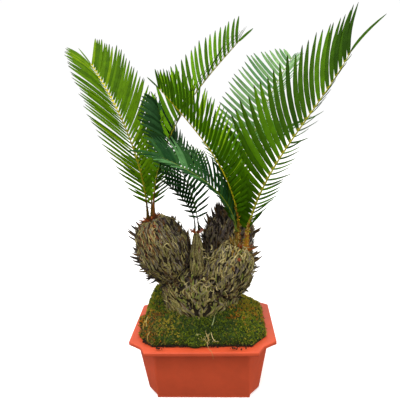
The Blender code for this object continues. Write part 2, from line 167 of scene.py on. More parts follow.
BACK_ROW = Row((20, 20), (70, 32), 0.074, droop=0.20)
FRONDS = {
    "frond_right_great": Frond(
        RIGHT_HEAD, (0.0070, -0.0020), 8, (85, 55, 61), 0.291,
        Row((57, 50), (84, 30), 0.113, 1.1, 0.18, 0.35, 9, 2.4, slim=0.42),
        Row((-30, 17), (10, 103), 0.097, 0.25, 0.0, 0.45, 6, 1.1, 12), GREAT_GREENS, 33,
        spread=1.25, girth=1.35, foot=1.3, end=0.060, nod=0.30, wool=170,
    ),
    "frond_bright": Frond(
        RIGHT_HEAD, (-0.0035, 0.0045), 175, (99, 60, 50), 0.243,
        Row((55, 50), (76, 50), 0.062, 1.0, 0.10, 0.60, broad=1.1),
        Row((50, 50), (80, 52), 0.068, 1.0, 0.10, 0.60, broad=1.1), BRIGHT_GREENS, 33,
        bare=0.18, end=0.020, bright=0.20, wool=70,
    ),
    "frond_low_front": Frond(
        RIGHT_HEAD, (-0.0065, -0.0035), 205, (101, 46, 28), 0.172,
        Row((-35, 5), (64, 24), 0.034, droop=0.35, taper=-0.6, broad=1.1),
        Row((45, 45), (86, 60), 0.062, late=1.2, droop=0.25, broad=1.4), BLUE_GREENS, 26,
        girth=1.5, end=0.022, wool=60,
    ),
    "frond_pale_back": Frond(
        REAR_HEAD, (0.0020, -0.0070), 40, (80, 60, 46), 0.265,
        Row((40, 44), (82, 62), 0.074, 0.7, 0.12, 0.75, broad=1.35),
        Row((20, 20), (68, 38), 0.062, 0.7, 0.10, 0.85), PALE_GREENS, 32, end=0.010,
    ),
    "frond_left_outer": Frond(
        LEFT_HEAD, (-0.0045, 0.0000), 140, (91, 61, 47), 0.258,
        Row((-5, 10), (62, 24), 0.080, droop=0.30, broad=0.85, slim=-0.4),
        Row((46, 42), (72, 36), 0.082, late=0.35, broad=1.25), OUTER_GREENS, end=0.040,
        bright=0.60,
    ),
    "frond_left_inner": Frond(
        LEFT_HEAD, (0.0045, 0.0010), 35, (92, 53, 42), 0.303,
        Row((50, 50), (66, 38), 0.072, 1.1, taper=0.25, broad=1.9, slim=0.40),
        Row((28, 44), (82, 44), 0.062, 2.0, taper=0.60, broad=1.7, slim=0.70), INNER_GREENS, 31,
        spread=1.15, end=0.034,
    ),
    "frond_dark_tall": Frond(
        CENTRE_HEAD, (0.0030, 0.0010), 140, (89, 60, 78), 0.190,
        Row((0, 20), (78, 34), 0.050, late=0.8, droop=0.80, broad=0.9, slim=-0.7),
        Row((30, 20), (84, 30), 0.054, 0.5, 0.70, 0.60, curl=0, broad=0.85, slim=-0.8), DARK_GREENS, 27,
        girth=0.65, end=0.018,
    ),
    "frond_dark_short": Frond(
        CENTRE_HEAD, (-0.0030, -0.0010), 190, (102, 59, 44), 0.081,
        Row((0, 10), (80, 40), 0.045, broad=0.9, curl=0),
        Row((45, 45), (80, 50), 0.042, droop=0.10, curl=0),
        SHADE_GREENS, 13, bare=0.3, girth=0.65, end=0.015,
    ),
    "frond_back_left": Frond(
        REAR_HEAD, (-0.0080, 0.0010), 133, (75, 14, -10), 0.210, BACK_ROW, BACK_ROW,
        BACK_GREENS, 26, bare=0.40, end=0.030,
    ),
    "frond_back": Frond(
        REAR_HEAD, (0.0000, 0.0080), 90, (70, 22, -20), 0.200, BACK_ROW, BACK_ROW,
        BACK_GREENS, 27, bare=0.30, end=0.030,
    ),
    "frond_back_right": Frond(
        REAR_HEAD, (0.0085, -0.0010), 56, (78, 35, 10), 0.210, BACK_ROW, BACK_ROW,
        BACK_GREENS, 26, bare=0.40, end=0.030,
    ),
    "frond_left_back": Frond(
        LEFT_HEAD, (0.0000, 0.0075), 96, (72, 10, -20), 0.210, BACK_ROW, BACK_ROW,
        BACK_GREENS, 32, end=0.030,
    ),
}
# The rib's radius at the crown, where its leaflets begin and at its tip.
RIB_BASE = 2.8 * MM
RIB_FIRST = 1.25 * MM
RIB_TIP = 0.5 * MM


# Settings a user would change


def length_setting(name, text, default):
    return FloatProperty(name=name, description=text, default=default, unit="LENGTH", precision=5)


def color_setting(name, text, code):
    return FloatVectorProperty(name=name, description=text, default=paint(code), subtype="COLOR")


class PotSettings(PropertyGroup):
    corner: length_setting("Corner", "Radius of the body's upright edges", 2.5 * MM)
    edge: length_setting("Edge", "Radius of the moulded pot's edges", 2.0 * MM)
    color: color_setting("Colour", "Colour of the plastic", "#E65B35")


class MossSettings(PropertyGroup):
    collar: length_setting("Collar", "How far the moss climbs the trunk in front", 7.0 * MM)
    lump: length_setting("Lump", "Height of the moss's small cushions", 2.2 * MM)
    blade: length_setting("Blade", "Length of one moss leaf", 2.6 * MM)
    tufts: IntProperty(name="Tufts", description="Number of moss shoots", default=7500)


class CaudexSettings(PropertyGroup):
    scale_width: length_setting("Scale width", "Width of a head's leaf scale", 3.5 * MM)
    scale_length: length_setting("Scale length", "Length of a head's leaf scale", 15 * MM)
    lump: length_setting("Lump", "Height of the caudex's broad swellings", 2.2 * MM)


class FrondSettings(PropertyGroup):
    leaflet_width: length_setting("Leaflet width", "Width of the longest leaflets", 4.0 * MM)
    tip_color: color_setting("Tips", "Colour of the leaflets' hard tips", "#26300E")


class StageSettings(PropertyGroup):
    floor_color: color_setting("Floor", "Colour of the studio floor", "#F6F5F3")
    key_light: FloatProperty(
        name="Key light", description="Power of the large lamp overhead", default=9.0, unit="POWER"
    )


# Meshes


def only_select(obj):
    """Makes it the one selected and active object."""
    bpy.ops.object.select_all(action="DESELECT")
    obj.select_set(True)
    bpy.context.view_layer.objects.active = obj


def new_object(name, mesh):
    obj = bpy.data.objects.new(name, mesh)
    bpy.context.scene.collection.objects.link(obj)
    return obj


def dress(obj, slot, materials, *nodes):
    """Gives a piece its materials and its place on the body."""
    if obj.data.materials:
        obj.data.materials.clear()
    for material in materials:
        obj.data.materials.append(material)
    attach(obj, BODY)
    if nodes:
        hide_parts(*nodes)


def node_copy(name, node):
    """A merged copy of a CAD node's mesh, as an object of its own."""
    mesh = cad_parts[node].data.copy()
    mesh.name = name
    shape = bmesh.new()
    shape.from_mesh(mesh)
    bmesh.ops.remove_doubles(shape, verts=shape.verts, dist=0.01 * MM)
    bmesh.ops.dissolve_limit(
        shape, angle_limit=math.radians(1), verts=shape.verts, edges=shape.edges
    )
    shape.to_mesh(mesh)
    shape.free()
    return new_object(name, mesh)


def apply_modifiers(obj):
    only_select(obj)
    for modifier in list(obj.modifiers):
        bpy.ops.object.modifier_apply(modifier=modifier.name)


def read_points(mesh):
    """The mesh's vertices as an array of (vertex, xyz)."""
    points = np.empty(len(mesh.vertices) * 3)
    mesh.vertices.foreach_get("co", points)
    return points.reshape(-1, 3)


def write_points(mesh, points):
    """Moves the mesh's vertices to the points."""
    mesh.vertices.foreach_set("co", points.reshape(-1))
    mesh.update()


def unit(vectors):
    """The vectors at a length of one."""
    return vectors / np.maximum(np.linalg.norm(vectors, axis=-1, keepdims=True), 1e-12)


def numbers_of(palette, names):
    """The places in the palette of the named colours."""
    places = list(palette)
    return np.array([places.index(name) for name in names])


def loop_mesh(name, rings, kinds):
    """One mesh of many closed tapering pieces.

    rings holds the points as (piece, ring, place round the ring, xyz), and kinds the material
    index of each side face as (piece, ring, place) or as anything that spreads to it.
    """
    count, length, around, _ = rings.shape
    kinds = np.broadcast_to(kinds, (count, length - 1, around))
    index = np.arange(count * length * around).reshape(count, length, around)
    low = index[:, :-1]
    high = index[:, 1:]
    sides = np.stack([low, np.roll(low, -1, 2), np.roll(high, -1, 2), high], axis=-1)
    faces = sides.reshape(-1, 4).tolist()
    faces += index[:, 0, ::-1].tolist()
    faces += index[:, -1].tolist()
    face_kinds = np.concatenate([kinds.reshape(-1), kinds[:, 0, 0], kinds[:, -1, 0]])
    mesh = bpy.data.meshes.new(name)
    mesh.from_pydata(rings.reshape(-1, 3).tolist(), [], faces)
    mesh.polygons.foreach_set("material_index", face_kinds.astype(np.int32))
    shape = bmesh.new()
    shape.from_mesh(mesh)
    bmesh.ops.recalc_face_normals(shape, faces=shape.faces)
    shape.to_mesh(mesh)
    shape.free()
    return mesh


def add_piece(name, rings, kinds, slot, materials, *nodes):
    """A finished piece from rings, as loop_mesh takes them."""
    piece = new_object(name, loop_mesh(name, rings, kinds))
    dress(piece, slot, materials, *nodes)
    return piece


def blades(path, across, face, width, thickness, cup=0.12):
    """Rings of four points round each path: left edge, top, right edge and underside.

    path is (piece, ring, xyz), across and face its side and upper directions, and width and
    thickness are (piece, ring). The edges hang below the top by cup times the width.
    """
    half = across * (0.5 * width)[..., None]
    drop = face * (cup * width)[..., None]
    thick = face * thickness[..., None]
    left = path - half - drop
    right = path + half - drop
    return np.stack([left, path, right, path - drop - thick], axis=2)


def fine_line(points, steps):
    """Places in metres on a line given in millimetres, with steps counted in its points."""
    columns = [np.interp(steps, np.arange(len(points)), column) for column in zip(*points)]
    return np.stack(columns, axis=-1) * MM


def rays(root, out, length, steps):
    """Straight paths from each root, with rings at shares of its length."""
    return root[:, None] + out[:, None] * (length[:, None] * steps)[..., None]


def ribbons(path, upright, width, thickness, cup):
    """Blades that lie across their path and across the upright direction."""
    along = unit(np.gradient(path, axis=1))
    across = unit(np.cross(along, upright))
    return blades(path, across, np.cross(across, along), width, thickness, cup)


def tubes(path, radius, around):
    """Round rings along each path of (piece, ring, xyz)."""
    along = unit(np.gradient(path, axis=1))
    upright = np.broadcast_to(np.array((0.13, 0.21, 0.97)), along.shape)
    side = unit(np.cross(along, upright))
    other = np.cross(side, along)
    turn = np.arange(around) * math.tau / around
    circle = side[:, :, None] * np.cos(turn)[:, None] + other[:, :, None] * np.sin(turn)[:, None]
    return path[:, :, None] + circle * radius[:, :, None, None]


def ripple(points, size, seed=0):
    """A smooth repeatable unevenness from -1 to 1, with bumps of about that size."""
    turn = points * (math.pi / size)
    x, y, z = (turn[..., i] for i in range(3))
    # Three bent waves that don't repeat together.
    first = np.sin(x * 1.00 + 1.7 * np.sin(y * 0.83 + seed) + seed)
    second = np.sin(y * 1.07 + 1.3 * np.sin(z * 0.91 + 2.1 * seed) + 2.0)
    third = np.sin(z * 0.97 + 1.5 * np.sin(x * 0.79 + 1.3 * seed) + 4.0)
    return (first + second + third) / 3


# Materials


def add_node(tree, kind, settings=None, links=None):
    """A node with its settings, and with links into its sockets by name or number."""
    node = tree.nodes.new(kind)
    for name, value in (settings or {}).items():
        if name in node.inputs:
            node.inputs[name].default_value = value
        else:
            setattr(node, name, value)
    for name, source in (links or {}).items():
        tree.links.new(source, node.inputs[name])
    return node


def tune(material, values):
    """The material's shader, with values set on its inputs."""
    shader = material.node_tree.nodes["Principled BSDF"]
    for name, value in values.items():
        shader.inputs[name].default_value = value
    return shader


def uneven_material(name, dark, light, size, roughness, bump, bump_size=None):
    """A plain dielectric whose colour wanders between two values and whose surface is uneven.

    size and bump_size are the real sizes of the blotches and of the bumps, and bump is their
    height, all in metres.
    """
    material = bpy.data.materials.new(name)
    material.use_nodes = True
    tree = material.node_tree
    shader = tune(material, {"Roughness": roughness, "Specular IOR Level": 0.3})
    place = add_node(tree, "ShaderNodeTexCoord").outputs["Object"]
    blotch = add_node(
        tree,
        "ShaderNodeTexNoise",
        {"Scale": 1 / size, "Detail": 3.0, "Roughness": 0.6},
        {"Vector": place},
    ).outputs["Fac"]
    ramp = add_node(tree, "ShaderNodeMapRange", {"From Min": 0.32, "From Max": 0.68}, {"Value": blotch})
    factor = {"Factor": ramp.outputs["Result"]}
    mix = add_node(tree, "ShaderNodeMix", {"data_type": "RGBA"}, factor)
    mix.inputs[6].default_value = (*dark, 1)
    mix.inputs[7].default_value = (*light, 1)
    tree.links.new(mix.outputs[2], shader.inputs["Base Color"])
    fine = add_node(
        tree,
        "ShaderNodeTexNoise",
        {"Scale": 1 / (bump_size or 0.3 * size), "Detail": 4.0, "Roughness": 0.65},
        {"Vector": place},
    ).outputs["Fac"]
    raised = add_node(
        tree, "ShaderNodeBump", {"Strength": 0.8, "Distance": bump}, {"Height": fine}
    )
    tree.links.new(raised.outputs["Normal"], shader.inputs["Normal"])
    return material


def shade(color, factor):
    """The colour made lighter or darker by the factor."""
    return tuple(min(1.0, c * factor) for c in color)


def plain_material(name, code, spread, size, roughness, bump):
    """The same, between a darker and a lighter shade of one colour."""
    color = paint(code)
    return uneven_material(name, shade(color, 1 - spread), shade(color, 1 + spread), size,
                           roughness, bump)


# Places of a frond's materials after its three greens.
UNDERSIDE, HARD_TIP, RIB, STALK, DARK_END, LOW_RIB, PALE_WOOL, RUST_WOOL = range(3, 11)
LEAF_SPECULAR = 0.04


def leaf_materials(name, frond, tip_color):
    """Leathery cycad leaf: a waxed upper side, a duller underside, hard dark tips."""
    first, second, third, under, rib, stalk = (paint(code) for code in frond.colors)
    dusk = tuple(0.45 * g + 0.55 * t for g, t in zip(second, tip_color))
    low = tuple(0.5 * g + 0.4 * r for g, r in zip(under, rib))
    # Name, colour, its darker and lighter shade, blotch in mm, roughness and bump in mm.
    looks = (
        ("leaf_0", first, 0.82, 1.18, 9, 0.5, 0.15),
        ("leaf_1", second, 0.82, 1.18, 9, 0.5, 0.15),
        ("leaf_2", third, 0.82, 1.18, 9, 0.5, 0.15),
        ("underside", under, 0.85, 1.15, 9, 0.55, 0.15),
        ("hard_tip", tip_color, 0.7, 1.5, 4, 0.5, 0.1),
        ("rib", rib, 0.8, 1.2, 12, 0.42, 0.15),
        ("stalk", stalk, 0.65, 1.35, 5, 0.6, 0.4),
        ("darker_end", dusk, 0.8, 1.2, 9, 0.5, 0.15),
        ("lower_rib", low, 0.8, 1.2, 12, 0.5, 0.15),
    )
    made = []
    for part, color, dark, light, size, roughness, bump in looks:
        material = uneven_material(f"{name}_{part}", shade(color, dark), shade(color, light),
                                   size * MM, roughness, bump * MM)
        tune(material, {"Specular IOR Level": LEAF_SPECULAR})
        made.append(material)
    return made


# Pot


def pot_material(color):
    """Moulded polypropylene: even colour, a soft satin gloss, faint scuffs."""
    material = uneven_material("moulded_polypropylene", shade(color, 0.93), shade(color, 1.05),
                               28 * MM, 0.45, 0.05 * MM, 1.5 * MM)
    tree = material.node_tree
    shader = tune(material, {"Specular IOR Level": 0.35})
    place = add_node(tree, "ShaderNodeTexCoord").outputs["Object"]
    dull = add_node(
        tree, "ShaderNodeTexNoise", {"Scale": 60.0, "Detail": 5.0}, {"Vector": place}
    ).outputs["Fac"]
    rough = add_node(
        tree,
        "ShaderNodeMapRange",
        {"From Min": 0.3, "From Max": 0.7, "To Min": 0.38, "To Max": 0.55},
        {"Value": dull},
    )
    tree.links.new(rough.outputs["Result"], shader.inputs["Roughness"])
    return material


WALL_HEIGHT = 20 * MM  # an upright edge of the body is taller than this


class SAGO_OT_pot(Operator):
    """Make the moulded pot with rounded edges"""

    bl_idname = "sago.pot"
    bl_label = "Pot"

    def execute(self, context):
        settings = context.scene.sago_pot
        pot = node_copy("pot_shell", "pot")
        self.round_corners(pot.data, settings.corner)
        bevel = pot.modifiers.new("edges", "BEVEL")
        bevel.width = settings.edge
        bevel.segments = 3
        bevel.limit_method = "ANGLE"
        bevel.angle_limit = math.radians(18)
        apply_modifiers(pot)
        bpy.ops.object.shade_smooth_by_angle(angle=math.radians(35))
        dress(pot, "pot_plastic", [pot_material(tuple(settings.color))], "pot")
        return {"FINISHED"}

    def round_corners(self, mesh, radius):
        """Rounds the upright edges between the body's walls."""
        shape = bmesh.new()
        shape.from_mesh(mesh)
        upright = []
        for edge in shape.edges:
            rise = abs(edge.verts[0].co.z - edge.verts[1].co.z)
            steep = rise > max(WALL_HEIGHT, 0.9 * edge.calc_length())
            if steep and edge.calc_face_angle(0) > 0.3:
                upright.append(edge)
        bmesh.ops.bevel(shape, geom=upright, offset=radius, segments=4, profile=0.5, affect="EDGES")
        shape.to_mesh(mesh)
        shape.free()


# Soil and moss


def soil_material(name="damp_potting_soil"):
    """Damp potting soil: near black, with crumbs a few millimetres across."""
    return uneven_material(name, paint("#120D09"), paint("#3B2A1C"), 3 * MM, 0.95, 1.0 * MM, 1.6 * MM)


CRUMBS = 700
# Where they lie, in metres: from the left end along the moss's front edge, whose left corner is
# cut, and along its left side.
CRUMBS_LEFT = -0.080
CRUMBS_SPAN = 0.150
MOSS_FRONT = 0.0680
MOSS_CORNER = 0.0645
MOSS_SIDE = -0.0870
RIM_FRONT = -77 * MM
SPILT_EVERY = 36  # one crumb in so many lies on the rim itself
SPILT_AT = (-54, 41, 47, 56)  # along the front rim, in millimetres


class SAGO_OT_soil(Operator):
    """Give the soil its surface and scatter crumbs along the pot's edge"""

    bl_idname = "sago.soil"
    bl_label = "Soil"

    def execute(self, context):
        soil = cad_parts["soil"]
        soil.data.materials.clear()
        soil.data.materials.append(soil_material())
        rng = np.random.default_rng(SOIL_SEED)
        centre = self.crumb_places(rng)
        size = rng.uniform(0.45, 1.3, CRUMBS) * MM
        steps = np.array((-1.0, -0.5, 0.4, 1.0))
        path = centre[:, None] + size[:, None, None] * steps[:, None] * np.array((0.3, 0.2, 0.9))
        bulge = np.array((0.25, 1.0, 0.9, 0.2)) * rng.uniform(0.8, 1.25, (CRUMBS, 4))
        rings = tubes(path, size[:, None] * bulge, 5)
        add_piece("soil_crumbs", rings, 0, "soil", [soil_material("loose_soil")])
        return {"FINISHED"}

    def crumb_places(self, rng):
        """Where the moss meets the rim along the front and the left side, and on the rim."""
        share = rng.random(CRUMBS)
        x = CRUMBS_LEFT + CRUMBS_SPAN * share**1.3
        front = np.minimum(MOSS_FRONT, MOSS_FRONT - 0.9 * np.maximum(0, -x - MOSS_CORNER))
        y = -front + rng.normal(0, 1.3 * MM, CRUMBS)
        side = rng.random(CRUMBS) < 0.25
        x = np.where(side, MOSS_SIDE + rng.normal(0, 1.0 * MM, CRUMBS), x)
        y = np.where(side, rng.uniform(-0.040, 0.035, CRUMBS), y)
        spilt = np.arange(CRUMBS) % SPILT_EVERY == 0
        along = rng.choice(SPILT_AT, CRUMBS) * MM + rng.normal(0, 3 * MM, CRUMBS)
        x = np.where(spilt, along, x)
        y = np.where(spilt, RIM_FRONT + rng.normal(0, 1.5 * MM, CRUMBS), y)
        height = np.where(spilt, 0.0772, 0.0762) + rng.uniform(0, 1.2 * MM, CRUMBS)
        return np.stack([x, y, height], axis=-1)


MOSS_COLORS = {
    "deep": "#465610",
    "green": "#6E7E14",
    "fresh": "#8A9A1E",
    "yellow": "#C4B038",
    "olive": "#94883A",
    "rust": "#CA7C20",
    "brown": "#85602A",
    "straw": "#E2D29A",
}
# Patches of the moss by place: x, y, radius and the colours that are common there.
MOSS_PATCHES = (
    (-0.081, -0.024, 0.020, ("rust", "brown", "yellow", "rust")),
    (-0.068, -0.045, 0.024, ("brown", "rust", "olive", "brown")),
    (-0.045, -0.050, 0.020, ("yellow", "olive", "green", "olive")),
    (0.006, -0.064, 0.010, ("straw", "yellow", "green", "straw")),
    (-0.014, -0.068, 0.014, ("fresh", "fresh", "green", "deep")),
    (0.052, -0.030, 0.018, ("rust", "yellow", "rust", "olive")),
    (0.072, 0.000, 0.020, ("yellow", "fresh", "yellow", "rust")),
    (0.070, -0.045, 0.024, ("fresh", "yellow", "green", "fresh")),
    (0.066, 0.038, 0.030, ("yellow", "yellow", "fresh", "yellow")),
    (-0.070, 0.020, 0.026, ("fresh", "fresh", "green", "yellow")),
    (0.010, -0.045, 0.022, ("deep", "green", "deep", "fresh")),
)
# Cushions that bulge over the rim: middle and half sizes, in millimetres.
MOSS_CUSHIONS = (
    ((-8, -67, 78.5), (10, 7, 5)),
    ((4, -66, 78.5), (7, 5, 4)),
    ((-87, -14, 82), (5, 16, 7)),
    ((-46, -64, 79), (14, 4, 4)),
    ((46, -64, 79), (12, 4, 4)),
)
SHOOT_LEAVES = 5
SHOOT_RADIUS = 0.5 * MM
COLLAR_RADIUS = 46 * MM  # how far from the trunk's middle the moss climbs highest
COLLAR_WIDTH = 14 * MM
SHOOTS_FROM = 0.0745  # height above which shoots grow
LUMPS_FROM = 0.0765  # height above which the mound is lumpy
ROOT_OVER_RIM = (
    (9, -64, 91), (10, -66, 86), (8, -72, 81), (10, -79, 78.5),
    (14, -83.5, 77), (15.5, -84.2, 71), (15.5, -82.6, 66),
)
# Dry litter on the moss: colour, radius and line, in millimetres.
LITTER = {
    "root_long": ("#C8A86A", 0.4, ROOT_OVER_RIM),
    "root_short": ("#DCC68E", 0.5, ((13, -62, 92), (15, -67, 87), (18, -70, 84), (23, -70, 83))),
    "root_left": ("#D2B878", 0.5, ((6, -62, 92), (9, -67, 86), (11, -71, 82))),
    "grass_blade": ("#B9C88A", 0.7, ((14, -56, 98), (16.5, -57, 105), (18, -58, 112))),
    "straw_bit": ("#D8BC6C", 0.6, ((-75, -40, 104), (-77, -44, 98), (-75, -48, 93))),
    "straw_edge": ("#CFA850", 0.6, ((-80, -36, 96), (-82, -40, 90), (-81, -44, 84))),
    "straw_low": ("#D8BC6C", 0.5, ((-70, -56, 90), (-73, -59, 85), (-72, -62, 80))),
}


def moss_kinds(points, rng):
    """The colour number of each tuft, from the patch it grows in."""
    usual = numbers_of(MOSS_COLORS, ("deep", "deep", "green", "green", "olive", "fresh"))
    # Cushions a few millimetres wide are lighter or darker as a whole.
    shift = ripple(points, 5 * MM, 0.9) * 1.6 + rng.normal(2.5, 1.3, len(points))
    kinds = usual[np.clip(shift.astype(int), 0, len(usual) - 1)]
    for x, y, radius, colors in MOSS_PATCHES:
        away = np.hypot(points[:, 0] - x, points[:, 1] - y)
        away = away + 0.35 * radius * ripple(points, 9 * MM, seed=x * 90)
        inside = rng.random(len(points)) < 0.85 * np.exp(-((away / radius) ** 4))
        choice = numbers_of(MOSS_COLORS, colors)[rng.integers(0, len(colors), len(points))]
        kinds = np.where(inside, choice, kinds)
    return kinds


def surface_points(mesh, count, rng, lowest_up):
    """Random places and normals on the faces that look up."""
    total = len(mesh.polygons)
    centre = np.empty(total * 3)
    normal = np.empty(total * 3)
    area = np.empty(total)
    mesh.polygons.foreach_get("center", centre)
    mesh.polygons.foreach_get("normal", normal)
    mesh.polygons.foreach_get("area", area)
    centre = centre.reshape(-1, 3)
    normal = normal.reshape(-1, 3)
    weight = area * (normal[:, 2] > lowest_up) * (centre[:, 2] > SHOOTS_FROM)
    pick = rng.choice(total, size=count, p=weight / weight.sum())
    return centre[pick] + rng.normal(0, 0.5 * MM, (count, 3)) * (1, 1, 0), normal[pick]


class SAGO_OT_moss(Operator):
    """Make the moss mound and its thousands of shoots"""

    bl_idname = "sago.moss"
    bl_label = "Moss"

    def execute(self, context):
        settings = context.scene.sago_moss
        mound = node_copy("moss_mound", "moss")
        self.add_cushions(mound)
        remesh = mound.modifiers.new("remesh", "REMESH")
        remesh.mode = "VOXEL"
        remesh.voxel_size = 1.5 * MM
        apply_modifiers(mound)
        self.raise_lumps(mound.data, settings)
        bpy.ops.object.shade_smooth()
        peat = uneven_material("moss_cushion", paint("#1B2A0B"), paint("#3B4E16"), 5 * MM, 0.95,
                               0.8 * MM, 1.2 * MM)
        dress(mound, "moss", [peat], "moss")
        self.grow_shoots(mound.data, settings)
        self.lay_litter()
        return {"FINISHED"}

    def add_cushions(self, mound):
        """Joins cushions to the mound where it bulges over the rim."""
        cushions = []
        for place, size in MOSS_CUSHIONS:
            bpy.ops.object.select_all(action="DESELECT")
            bpy.ops.mesh.primitive_uv_sphere_add(
                segments=20, ring_count=12, radius=MM, location=Vector(place) * MM, scale=size
            )
            cushions.append(bpy.context.object)
        only_select(mound)
        for cushion in cushions:
            cushion.select_set(True)
        bpy.ops.object.join()

    def raise_lumps(self, mesh, settings):
        """Raises small cushions, and a collar where the moss climbs the trunk's foot."""
        points = read_points(mesh)
        lift = ripple(points, 7 * MM, 0.4) + 0.6 * ripple(points, 3.5 * MM, 1.9)
        free = np.clip((points[:, 2] - LUMPS_FROM) / (2 * MM), 0, 1)
        points[:, 2] += settings.lump * 0.6 * lift * free
        away = np.hypot(points[:, 0] - TRUNK.foot[0], (points[:, 1] - TRUNK.foot[1]) / TRUNK.depth)
        in_front = np.clip(-points[:, 1] / (30 * MM), 0, 1)
        climb = np.exp(-(((away - COLLAR_RADIUS) / COLLAR_WIDTH) ** 2)) * in_front
        points[:, 2] += settings.collar * climb * free
        write_points(mesh, points)

    def lay_litter(self):
        """Dry roots and a pale blade of grass that lie on the moss and over the rim."""
        for name, (code, radius, points) in LITTER.items():
            end = len(points) - 1
            steps = np.linspace(0, end, 4 * len(points))
            girth = radius * MM * np.interp(steps, (0, 0.5, end), (0.7, 1.0, 0.3))
            rings = tubes(fine_line(points, steps)[None], girth[None], 5)
            material = plain_material(f"dry_{name}", code, 0.2, 3 * MM, 0.8, 0.1 * MM)
            add_piece(name, rings, 0, "moss", [material])

    def grow_shoots(self, mesh, settings):
        """Shoots of a few pointed leaves each, leaning out from the mound."""
        rng = np.random.default_rng(MOSS_SEED)
        root, normal = surface_points(mesh, settings.tufts, rng, 0.05)
        kinds = np.repeat(moss_kinds(root, rng), SHOOT_LEAVES)[:, None, None]
        root = np.repeat(root, SHOOT_LEAVES, axis=0)
        normal = np.repeat(normal, SHOOT_LEAVES, axis=0)
        count = len(root)
        spread = rng.normal(0, 0.62, (count, 3))
        out = unit(normal + spread + np.array((0, 0, 0.25)))
        length = settings.blade * rng.uniform(0.55, 1.25, count)
        path = rays(root, out, length, np.array((0.0, 1.0)))
        radius = SHOOT_RADIUS * np.array((1.0, 0.15)) * rng.uniform(0.7, 1.3, (count, 1))
        rings = tubes(path, radius, 3)
        materials = [
            plain_material(f"moss_{name}", code, 0.25, 3 * MM, 0.75, 0.1 * MM)
            for name, code in MOSS_COLORS.items()
        ]
        half = count // 2
        for part, piece in enumerate((slice(0, half), slice(half, count))):
            add_piece(f"moss_shoots_{part}", rings[piece], kinds[piece], "moss", materials)


# Caudex


def bulb_axes(bulb):
    """The bulb's foot, its length and its directions up, right and back."""
    foot = np.array(bulb.foot)
    axis = np.array(bulb.crown) - foot
    length = np.linalg.norm(axis)
    axis = axis / length
    right = unit(np.cross((0, 1, 0), axis))
    return foot, length, axis, right, np.cross(axis, right)


def bulb_points(bulb, angle, turn):
    """Points of the bulb's skin: angle runs from -90 degrees at its foot to 90 at its crown."""
    foot, length, axis, right, back = bulb_axes(bulb)
    rising = angle >= 0
    reach = np.where(rising, 1 - bulb.bulge, bulb.bulge)
    end = np.where(rising, bulb.crown_radius, bulb.foot_radius)
    along = length * (bulb.bulge + reach * np.sin(angle))
    out = end + (bulb.radius - end) * np.cos(angle)
    spoke = right * np.cos(turn)[..., None] + back * (bulb.depth * np.sin(turn))[..., None]
    return foot + axis * along[..., None] + spoke * out[..., None]


def bulb_normals(bulb, angle, turn):
    """The outward directions of the bulb's skin at the same angles as in bulb_points."""
    step = 0.01
    up = bulb_points(bulb, angle + step, turn) - bulb_points(bulb, angle - step, turn)
    around = bulb_points(bulb, angle, turn + step) - bulb_points(bulb, angle, turn - step)
    return unit(np.cross(around, up))


def skin(bulb, angle, turn, lump):
    """The uneven skin's points and normals."""
    point = bulb_points(bulb, angle, turn)
    normal = bulb_normals(bulb, angle, turn)
    swell = ripple(point, 15 * MM, 0.7) * np.clip(np.cos(angle) * 2, 0, 1)
    return point + normal * (lump * swell)[..., None], normal


def inside(bulb, points, margin):
    """Which points lie deeper in the bulb than the margin."""
    foot, length, axis, right, back = bulb_axes(bulb)
    away = points - foot
    along = away @ axis / length - bulb.bulge
    reach = np.where(along >= 0, 1 - bulb.bulge, bulb.bulge)
    end = np.where(along >= 0, bulb.crown_radius, bulb.foot_radius)
    height = along / reach
    out = end + (bulb.radius - end) * np.sqrt(np.clip(1 - height**2, 0, 1))
    spread = np.hypot(away @ right, away @ back / bulb.depth)
    return (np.abs(height) < 1) & (spread < out - margin)


# Deep furrows: the points of each and its half width, in millimetres.
FURROWS = (
    (((-31, -39, 137), (-18, -44, 123), (-4, -46, 112)), 2.0),
    (((10, -44, 119), (23, -42, 129), (38, -38, 128), (50, -36, 140)), 2.0),
    (((-44, -30, 124), (-33, -34, 145), (-14, -34, 157), (4, -33, 158), (16, -39, 161)), 1.6),
    (((14, -34, 172), (16, -40, 160), (20, -41, 146), (23, -41, 133)), 1.7),
    (((32, -43, 180), (25, -44, 164)), 1.2),
    (((34, -45, 168), (53, -44, 160)), 1.2),
)


def in_furrow(points, margin):
    """Whether the points lie in one of the deep furrows, give or take the margin."""
    hit = np.zeros(points.shape[:-1], bool)
    for line, half in FURROWS:
        line = np.array(line) * MM
        for start, along in zip(line[:-1], np.diff(line, axis=0)):
            share = np.clip((points - start) @ along / (along @ along), 0, 1)
            away = np.linalg.norm(points - start - share[..., None] * along, axis=-1)
            hit |= away < half * MM + margin
    return hit


def in_crack(points):
    """Whether the points lie in the winding cracks between clumps of scales."""
    return np.abs(ripple(points, 17 * MM, 3.3)) < 0.055


def grooved(bulb, points, depth):
    """The points, with those in a furrow drawn in to the bulb's axis by the depth."""
    foot, _, axis, _, _ = bulb_axes(bulb)
    out = points - foot
    out = unit(out - axis * (out @ axis)[..., None])
    return np.where(in_furrow(points, 0.4 * MM)[..., None], points - out * depth, points)


@dataclass
class Coat:
    """How a bulb's leaf scales look.

    colors has (colour, weight) for its scales. tints has (direction, share, colours) for the
    scales that face that way. spikes has (direction, number, length in mm). threads and fibres
    are numbers of loose strands.
    """

    colors: tuple
    tints: tuple = ()
    spikes: tuple = ()
    bracts: tuple = ()
    bract_count: int = 0
    threads: int = 120
    size: float = 1.0  # of its scales, against the usual one
    tip_lift: float = 2.0 * MM  # how far the scales' tips stand off the skin
    fibres: int = 500
    fan: float = 0.0  # how much the scales lean out to both sides as they rise
    swirl: float = 0.2  # how far patches of scales lean to one side
    sink: float = 0.8 * MM  # how far the scales start below the bulb's skin
    wedge: float = 0.0  # how much narrower than its bulb the coat gets up to the crown
